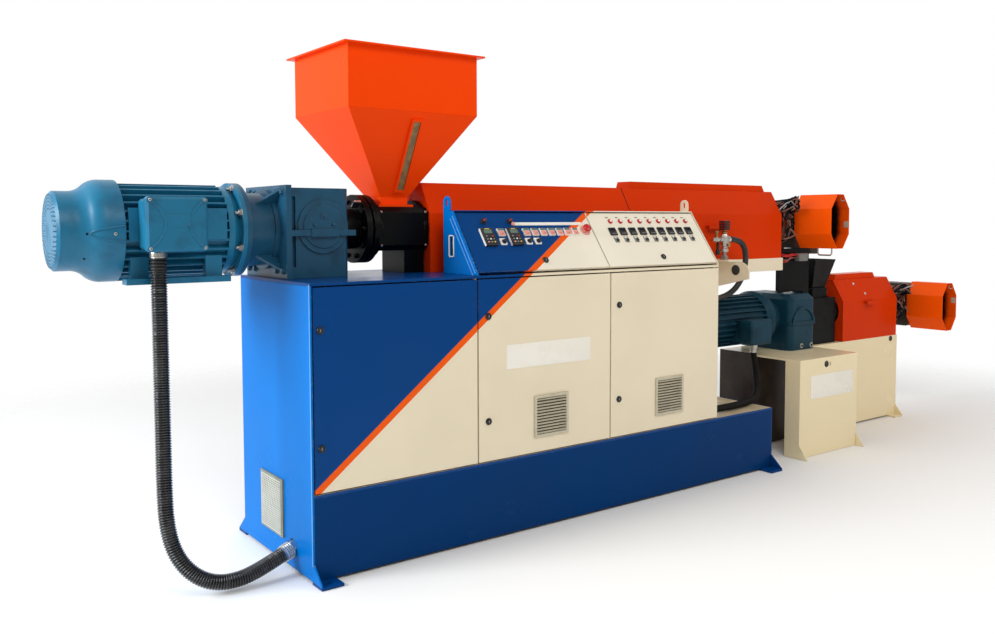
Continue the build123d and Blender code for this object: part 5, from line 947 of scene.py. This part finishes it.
# %% Bolts
flange_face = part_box("motor_frame")[1].x - 0.020
flange_circle, coupling_circle = 0.191, 0.135
coupling_left = -1.830
mesh = bmesh.new()
for step in range(8):
    spot = on_circle(flange_face, flange_circle, 2 * math.pi * (step + 0.5) / 8)
    hex_bolt(mesh, spot, leftward, 0.025, 1)
    turned(mesh, spot, leftward, [(0.010, 0.0075), (0.024, 0.0075), (0.026, 0.006)], 12, 1)
gear_low, gear_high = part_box("gearbox")
for high in (gear_low.z + 0.036, gear_high.z - 0.030):
    for across in (-0.048, 0.024, 0.276, 0.348):
        hex_bolt(mesh, (gear_low.x, across, high), leftward, 0.024)
add_piece("flange_bolts", "machine", mesh, gear_paint, steel)

mesh = bmesh.new()
for along in (-2.126, -2.036):
    spot, normal = touch("gearbox", along, 1.4875)
    turned(mesh, spot, normal, [(-0.002, 0.007), (0.006, 0.007), (0.008, 0.005)], 12)
spot, normal = touch("gearbox", -2.081, 1.526)
turned(mesh, spot, normal, [(-0.002, 0.016), (0.002, 0.016), (0.003, 0.013)], 20)
turned(mesh, spot, normal, [(0.002, 0.009), (0.010, 0.009), (0.012, 0.007)], 6)
add_piece("gearbox_plugs", "machine", mesh, gear_paint)

mesh = bmesh.new()
for step in range(10):
    spot = on_circle(coupling_left, coupling_circle, 2 * math.pi * step / 10)
    hex_bolt(mesh, spot, leftward, 0.018, 2)
for along in (-1.742, -1.498):
    for high in (1.385, 1.545):
        spot, normal = touch("feed_throat", along, high)
        cap_screw(mesh, spot, normal, 0.0065, 0)
clip = [(-0.006, 0), (0.004, 0), (0.006, 0.002)]
clip_spot = (coupling_left - 0.022, axis_y - 0.090, axis_z + 0.118)
pressed(mesh, clip_spot, (0, -0.8, 0.6), (1, 0, 0), 0.046, 0.036, 0.004, clip, 0)
add_piece("drive_screws", "machine", mesh, zinc, shadow, black_casting)

# %% [markdown]
# Down the hopper's front runs a sight strip, so that a glance tells when the flakes run low. It is a ribbed
# amber glass in a shallow frame. A check of two crossed waves gives the pressed pattern of such glass.

# %% Sight strip
waves_across, waves_up = 620, 520
strip_glass, wire, shader, place, rounded, worn = start_finish("sight_glass_strip", 0.001)
across, _, high = place.parts()
crossed = wire.maths("SINE", across * waves_across) * wire.maths("SINE", high * waves_up)
checks = crossed.step(-0.4, 0.5)
mottle = grain(wire, place, 38.0, 5.0).step(0.32, 0.68)
pattern = (checks * 0.6 + mottle * 0.4).tint(paint_code(54, 40, 18), paint_code(168, 134, 74))
feed(wire, shader, Base_Color=pattern, Roughness=0.16 + checks * 0.14, Specular_IOR_Level=0.5)
feed(wire, shader, Normal=relief(wire, checks, rounded, 0.3, 0.0008))
frame_low, frame_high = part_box("sight_glass")
slope_up = Vector((0, -211, 393)).normalized()
strip_middle = (frame_low + frame_high) / 2 + along_desk.cross(slope_up) * 0.001
pane = [(-0.004, 0), (0.0005, 0), (0.001, 0.0006)]
mesh = bmesh.new()
pressed(mesh, strip_middle, along_desk, slope_up, 0.037, 0.355, 0.002, pane)
add_piece("sight_strip", "machine", mesh, strip_glass)

# %% [markdown]
# The heater bands near each screen changer carry braided leads, wound round the barrel out of the way.
# Tilted loops of thin tube, each with its own lean from a seeded row of numbers, and strands laid over
# them read as that tangle. Under the first head four more leads run into a grey terminal block.

# %% Heater leads
braid = bare_steel("braided_lead", (0.24, 0.12, 0.09, 1), (0.08, 0.04, 0.035, 1), 0.4, 0.4)
lean = random.Random(7)


def loop(mesh, middle, radius, thin, lean_y, lean_z, finish=0, wander=0.006):
    steps = 48
    axis = Vector((1, lean_y, lean_z)).normalized()
    side = axis.orthogonal().normalized()
    other = axis.cross(side)
    rings = []
    for step in range(steps):
        angle = 2 * math.pi * step / steps
        out = side * math.cos(angle) + other * math.sin(angle)
        spot = Vector(middle) + out * (radius + wander * math.sin(5 * angle + lean_y * 40))
        rings.append([mesh.verts.new(spot + thin * (out * math.cos(a) + axis * math.sin(a)))
                      for a in [math.pi / 3 * corner for corner in range(6)]])
    for step in range(steps):
        low, high = rings[step], rings[(step + 1) % steps]
        for corner in range(6):
            after = (corner + 1) % 6
            mesh.faces.new((low[corner], low[after], high[after], high[corner])).material_index = finish


def lead(mesh, spots, thin, finish=0):
    guide = route("lead_guide", spots, 6)
    guide.data.bevel_depth = thin
    guide.data.bevel_resolution = 1
    fine = bpy.data.meshes.new_from_object(guide)
    first = len(mesh.faces)
    mesh.from_mesh(fine)
    mesh.faces.ensure_lookup_table()
    for face in mesh.faces[first:]:
        face.material_index = finish
    bpy.data.objects.remove(guide)
    bpy.data.meshes.remove(fine)


turns = 9
second_axis_z = 0.838
thin_leads = (0.0045, 0.006)
mesh = bmesh.new()
for left, right, level in ((1.292, 1.448, axis_z), (2.716, 2.876, second_axis_z)):
    for turn in range(turns):
        along = left + (right - left) * (turn + 0.5) / turns
        size = 0.118 + 0.014 * lean.random()
        lean_y, lean_z = lean.uniform(-0.2, 0.2), lean.uniform(-0.2, 0.2)
        loop(mesh, (along, axis_y, level), size, 0.0055, lean_y, lean_z, turn % 2)
    for strand in range(16):
        start = lean.uniform(0.25, 0.75) * math.pi
        spots = []
        for step in range(9):
            angle = start + 0.06 * math.pi * step * (1 if strand % 2 else -1)
            out = 0.140 + 0.028 * lean.random()
            along = lean.uniform(left, right - 0.02)
            spots.append((along, axis_y - out * math.cos(angle), level + out * math.sin(angle)))
        lead(mesh, spots, lean.choice(thin_leads), lean.choice((0, 0, 1, 1, 3)))
    for strand in range(14):
        spots = [(left - 0.020, lean.uniform(0.03, 0.12), level + lean.uniform(0.05, 0.16))]
        for along in (0.020, 0.055, 0.095):
            spots.append((left + along, lean.uniform(-0.09, 0.02), level + lean.uniform(0.09, 0.20)))
        spots.append((right - 0.005, lean.uniform(0.05, 0.13), level + lean.uniform(0.06, 0.13)))
        lead(mesh, spots, lean.choice(thin_leads), lean.choice((0, 1, 1, 2)))
web_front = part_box("head_support")[0].y
block = [(-0.001, 0), (0.036, 0), (0.040, 0.004)]
pressed(mesh, (1.539, web_front, 1.247), along_desk, upright, 0.096, 0.054, 0.006, block, 4)
for wire_start, wire_end in ((1.272, 1.263), (1.262, 1.256), (1.221, 1.262), (1.236, 1.240)):
    spots = [(1.326, web_front - 0.010, wire_start), (1.370, web_front - 0.022, wire_start - 0.012),
             (1.430, web_front - 0.024, wire_end + 0.012), (1.500, web_front - 0.018, wire_end)]
    lead(mesh, spots, 0.005, lean.choice((0, 5)))
add_piece("heater_leads", "machine", mesh, braid, shadow, steel, band_metal, grey_plastic, red_plastic)

# %% [markdown]
# The water valve on its bracket is a chromed body with a bronze neck and a black magnet coil on top. Each
# part is turned or pressed on the valve's own upright axis, or on a level one that crosses it.

# %% Valve
bronze = bare_steel("bronze", (0.42, 0.26, 0.12, 1), (0.22, 0.13, 0.07, 1), 0.3)
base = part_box("valve")[0].z
stem = Vector((0.555, -0.125, 0))
chrome_body = [
    (0, 0.016), (0.004, 0.024), (0.020, 0.025), (0.026, 0.019), (0.036, 0.019), (0.042, 0.026),
    (0.096, 0.026), (0.104, 0.020), (0.112, 0.017)]
cross = [
    (-0.044, 0.012), (-0.042, 0.016), (-0.030, 0.016), (-0.028, 0.012), (0.030, 0.012), (0.032, 0.018),
    (0.048, 0.018), (0.050, 0.014), (0.057, 0.014)]
drain = [(0.010, 0.010), (0.030, 0.010), (0.032, 0.0125), (0.040, 0.0125), (0.042, 0.009)]
neck = [(0, 0.013), (0.004, 0.017), (0.014, 0.017), (0.018, 0.012), (0.026, 0.012)]
coil_fold = [(0, 0.003), (0.001, 0), (0.007, 0), (0.0085, 0.003)]
inlet = [(0.040, 0.009), (0.062, 0.009), (0.064, 0.017), (0.080, 0.017), (0.082, 0.012), (0.110, 0.012)]
bleed = [(0, 0.011), (0.034, 0.011), (0.036, 0.008), (0.052, 0.008), (0.054, 0.014), (0.066, 0.014)]
side_pipe = [(0, 0.013), (0.030, 0.013), (0.034, 0.009), (0.088, 0.009)]


def on_stem(high):
    return stem + Vector((0, 0, high))


mesh = bmesh.new()
turned(mesh, on_stem(base), upright, [(0, 0.024), (0.022, 0.024), (0.024, 0.021)], 6, 1)
turned(mesh, on_stem(base + 0.022), upright, [(0, 0.014), (0.024, 0.014)], 20, 1)
turned(mesh, on_stem(base + 0.044), upright, chrome_body, 24, 0)
turned(mesh, on_stem(base + 0.123), (1, 0, 0), cross, 6, 0)
turned(mesh, on_stem(base + 0.090), forward, drain, 16, 2)
turned(mesh, on_stem(base + 0.156), upright, neck, 20, 2)
for fold in range(6):
    spot = on_stem(base + 0.180 + 0.0098 * fold)
    pressed(mesh, spot, (1, 0, 0), (0, 1, 0), 0.052, 0.050, 0.006, coil_fold, 3)
turned(mesh, on_stem(base + 0.123), leftward, inlet, 12, 0)
turned(mesh, on_stem(base + 0.110) - Vector((0.072, 0, 0)), upright, bleed, 16, 2)
turned(mesh, on_stem(base + 0.030) - Vector((0.060, 0, 0)), upright, side_pipe, 16, 3)
valve_piece = add_piece("water_valve", "machine", mesh, zinc, steel, bronze, black_plastic)
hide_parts("valve")

# %% [markdown]
# The right end has many small things: rubber plugs in unused holes, two screws on the lower cover, oil
# plugs on the lower gearbox, and an eye and a bare pale tag in each guard.

# %% Plugs and screws
base_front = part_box("second_base")[0].y + 0.060
bracket_plug = [(-0.010, 0.028), (0.003, 0.031), (0.005, 0.028), (0.003, 0.024)]
plug = [(-0.004, 0.021), (0.002, 0.021), (0.004, 0.018), (0.002, 0.014)]
mesh = bmesh.new()
turned(mesh, (0.573, -0.200, 1.200), leftward, bracket_plug, 28)
turned(mesh, (1.275, table_front, 0.579), forward, plug, 28)
turned(mesh, (2.631, base_front, 0.600), forward, plug, 28)
add_piece("rubber_plugs", "machine", mesh, rubber)

mesh = bmesh.new()
for along, high in ((2.232, 1.030), (2.318, 0.957)):
    spot, normal = touch("second_cover", along, high)
    turned(mesh, spot, normal, [(-0.002, 0.011), (0.002, 0.011), (0.004, 0.009), (0.007, 0.004)], 16, 0)
for along, high in ((1.429, 0.651), (1.536, 0.649)):
    spot, normal = touch("second_gearbox", along, high)
    turned(mesh, spot, normal, [(-0.002, 0.017), (0.003, 0.017), (0.004, 0.012), (0.003, 0.011)], 20, 0)
    turned(mesh, spot, normal, [(0.002, 0.009), (0.008, 0.0085)], 6, 1)
for left, level in ((1.615, 1.642), (3.055, 0.988)):
    loop(mesh, (left, -0.236, level), 0.013, 0.0034, 0.4, 0.1, 0, 0.0)
for inside, level in ((1.6605, 1.472), (3.1005, 0.882)):
    tag_spot = (inside, -0.234, level)
    pressed(mesh, tag_spot, forward, upright, 0.034, 0.042, 0.006, [(-0.001, 0), (0.0008, 0)], 2)
add_piece("right_end_screws", "machine", mesh, zinc, dark_drive, vent_plastic)

# %% [markdown]
# Screws hold the cabinet's back sheet, eight round each of its three bays. The desk's left end has two
# folded edges, drawn as light-blue strips that paint their highlight, and a white rim round its slot.

# %% Back screws and desk end trim
mesh = bmesh.new()
back_low, back_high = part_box("cabinet_back")
back_middle = (back_low.z + back_high.z) / 2
for bay in range(3):
    for share in (0.04, 0.5, 0.96):
        along = back_low.x + (back_high.x - back_low.x) * (bay + share) / 3
        for high in (back_low.z + 0.03, back_middle, back_high.z - 0.03):
            if share != 0.5 or high != back_middle:
                cap_screw(mesh, (along, back_high.y, high), (0, 1, 0), 0.008)
add_piece("back_screws", "machine", mesh, zinc, shadow)

# Painted highlight: a light blue for the folded edges that catch the light.
fold_highlight_paint = sheet_paint("folded_edge_highlight_blue", paint_code(96, 158, 226), 0.05)
end_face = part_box("console_left_end")[0].x
outward = up_desk.cross(Vector((-1, 0, 0)))
edge_highlight_strip = [(-0.001, 0), (0.0025, 0), (0.0032, 0.0012)]
slot_rim = [(-0.001, 0), (0.003, 0), (0.004, 0.001)]
slot_y, slot_z = -0.167, 1.382
mesh = bmesh.new()
for inset in (0.014, 0.036):
    spot = Vector((end_face, desk_foot.y, desk_foot.z)) + up_desk * 0.176 - outward * inset
    pressed(mesh, spot, outward, up_desk, 0.005, 0.330, 0.001, edge_highlight_strip, 0)
for across in (-0.019, 0.019):
    pressed(mesh, (end_face, slot_y + across, slot_z), forward, upright, 0.006, 0.106, 0.001, slot_rim, 1)
for high in (-0.050, 0.050):
    pressed(mesh, (end_face, slot_y, slot_z + high), forward, upright, 0.044, 0.006, 0.001, slot_rim, 1)
add_piece("desk_end_trim", "machine", mesh, fold_highlight_paint, white_plastic)

# %% [markdown]
# Sheet metal gives itself away at its ends. The covers are closed by end sheets cut round the barrel. Each
# sheet is a ring: from the barrel's middle a ray goes out in every direction, and the nearest side of the
# cover that it meets is where the sheet ends.


# %% End sheets
def end_sheet(mesh, along, thick, corners, middle, radius, steps=72):
    rings = []
    for depth in (0.0, thick):
        inner, outer = [], []
        for step in range(steps):
            angle = 2 * math.pi * step / steps
            way = Vector((0, math.cos(angle), math.sin(angle)))
            reach = 1.0
            for low, high in zip(corners, corners[1:] + corners[:1]):
                edge = Vector((0, high[0] - low[0], high[1] - low[1]))
                gap = Vector((0, low[0] - middle[0], low[1] - middle[1]))
                turn = way.y * edge.z - way.z * edge.y
                if abs(turn) > 1e-9:
                    far = (gap.y * edge.z - gap.z * edge.y) / turn
                    share = (gap.y * way.z - gap.z * way.y) / turn
                    if far > 0 and -1e-6 <= share <= 1 + 1e-6:
                        reach = min(reach, far)
            centre = Vector((along + depth, middle[0], middle[1]))
            inner.append(mesh.verts.new(centre + way * radius))
            outer.append(mesh.verts.new(centre + way * reach))
        rings.append((inner, outer))
    for step in range(steps):
        after = (step + 1) % steps
        for (inner, outer), flip in zip(rings, (1, -1)):
            mesh.faces.new((inner[step], outer[step], outer[after], inner[after])[::flip])
        for row in (0, 1):
            near, far = rings[0][row], rings[1][row]
            mesh.faces.new((near[step], near[after], far[after], far[step])[::1 if row else -1])


def cover_outline(node, foot, fold, half_top=0.060):
    low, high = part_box(node)
    front, back = low.y + 0.004, high.y - 0.004
    top = high.z - 0.005
    return [(front, foot), (back, foot), (back, fold), (axis_y + half_top, top), (axis_y - half_top, top),
            (front, fold)]


mesh = bmesh.new()
cover_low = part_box("cover_feed_side")[0]
first_outline = cover_outline("cover_feed_side", cover_low.z + 0.002, 1.540)
end_sheet(mesh, cover_low.x + 0.002, 0.003, first_outline, (axis_y, axis_z), 0.088)
second_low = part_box("second_cover")[0]
second_outline = cover_outline("second_cover", second_low.z + 0.002, second_low.z + 0.290)
end_sheet(mesh, second_low.x + 0.004, 0.003, second_outline, (axis_y, second_axis_z), 0.112)
add_piece("cover_ends", "machine", mesh, cover_orange_painted_shade)

# %% [markdown]
# A dark seam parts the two long covers, the cabinet's front corner gets a light-blue strip, a painted
# highlight on its fold, and the end vent has a comb of thin slats.

# %% Seam, fold highlight and slats
seam_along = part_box("cover_head_side")[0].x
slope = Vector((0, 0.088, 0.152)).normalized()
seam = [(-0.001, 0), (0.001, 0)]
corner_highlight_strip = [(-0.001, 0), (0.0008, 0), (0.0014, 0.001)]
plate_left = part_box("left_end_plate")[0].x
mesh = bmesh.new()
pressed(mesh, (seam_along, cover_low.y + 0.044, 1.616), along_desk, slope, 0.004, 0.172, 0.001, seam, 0)
pressed(mesh, (seam_along, cover_low.y, 1.398), along_desk, upright, 0.004, 0.280, 0.001, seam, 0)
# The corner's fold is a light-blue strip: a painted highlight.
pressed(mesh, (plate_left, door_front + 0.005, 0.66), forward, upright, 0.008, 1.17, 0.003, corner_highlight_strip, 1)
add_piece("seam_and_fold_highlight", "machine", mesh, shadow, fold_highlight_paint)

# White slats over the vent's darker plate, whose grey paints the shade in the gaps.
slats = 24
slat_levels = [(-0.001, 0), (0.003, 0), (0.004, 0.001)]
vent_low, vent_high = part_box("end_vent")
slat_long = vent_high.y - vent_low.y - 0.024
mesh = bmesh.new()
for slat in range(slats):
    high = vent_low.z + 0.014 + (vent_high.z - vent_low.z - 0.028) * slat / (slats - 1)
    spot = (vent_low.x, (vent_low.y + vent_high.y) / 2, high)
    pressed(mesh, spot, forward, upright, slat_long, 0.0052, 0.001, slat_levels)
add_piece("end_vent_slats", "machine", mesh, slat_white)

# %% [markdown]
# The floor is pale and plain so that only the machine draws the eye, and it fades out before the horizon.
# The hall behind the machine is white and the hall in front of it is darker, though less so below the
# horizon, where a pale floor would lie. Gloss paint mirrors the dark side, which is what keeps the blue
# and the orange deep. A large lamp at the motor end lights the end plate strongly, and two softer ones in
# front lift the doors, the desk and the second stage.

# %% Floor, world and lamps
bpy.ops.mesh.primitive_plane_add(size=60, location=(0, 0, -0.001))
floor = bpy.context.object
floor.name = "studio_floor"
pale, wire, shader, place, rounded, worn = start_finish("pale_floor")
far = wire.node("ShaderNodeVectorMath", {"operation": "LENGTH"}, "Value", i0=place)
tone = (grain(wire, place, 0.6) * 0.3).tint((0.88, 0.88, 0.88, 1), (0.84, 0.84, 0.84, 1))
feed(wire, shader, Base_Color=tone)
feed(wire, shader, Roughness=0.75, Specular_IOR_Level=0.1, Alpha=1 - far.step(3.6, 6.0))
floor.data.materials.append(pale)

world = bpy.data.worlds.new("studio")
bpy.context.scene.world = world
world.use_nodes = True
world.node_tree.nodes.clear()
air = Wire(world.node_tree)
_, deep, high = air.node("ShaderNodeTexCoord", out="Generated").parts()
below = 0 - high
in_front = (1 - deep.step(-0.25, 0.35)) * (1 - below.step(0.0, 0.16) * 0.6)
white_side = air.node("ShaderNodeBackground", Color=(1, 1, 1, 1), Strength=1.0)
dark_side = air.node("ShaderNodeBackground", Color=(1.0, 0.98, 0.94, 1), Strength=0.42)
hall = air.node("ShaderNodeMixShader", i0=1 - in_front, i1=dark_side, i2=white_side)
end = world.node_tree.nodes.new("ShaderNodeOutputWorld")
world.node_tree.links.new(hall.socket, end.inputs[0])


def soft_lamp(name, place, target, wide, watts, shade=(1, 1, 1)):
    lamp = bpy.data.objects.new(name, bpy.data.lights.new(name, "AREA"))
    bpy.context.scene.collection.objects.link(lamp)
    lamp.data.size = wide
    lamp.data.energy = watts
    lamp.data.color = shade
    lamp.location = place
    lamp.rotation_euler = (Vector(target) - Vector(place)).to_track_quat("-Z", "Y").to_euler()


soft_lamp("end_lamp", (-8.0, 0.8, 3.4), (-2.2, 0.0, 1.2), 3.0, 500, (0.90, 0.96, 1.0))
soft_lamp("front_lamp", (-2.4, -4.8, 5.6), (-0.2, -0.3, 1.0), 3.0, 130, (1.0, 0.97, 0.92))
soft_lamp("far_lamp", (3.0, -4.5, 4.8), (2.0, 0.0, 1.0), 2.5, 75, (1.0, 0.95, 0.88))
print("three lamps and a pale floor")
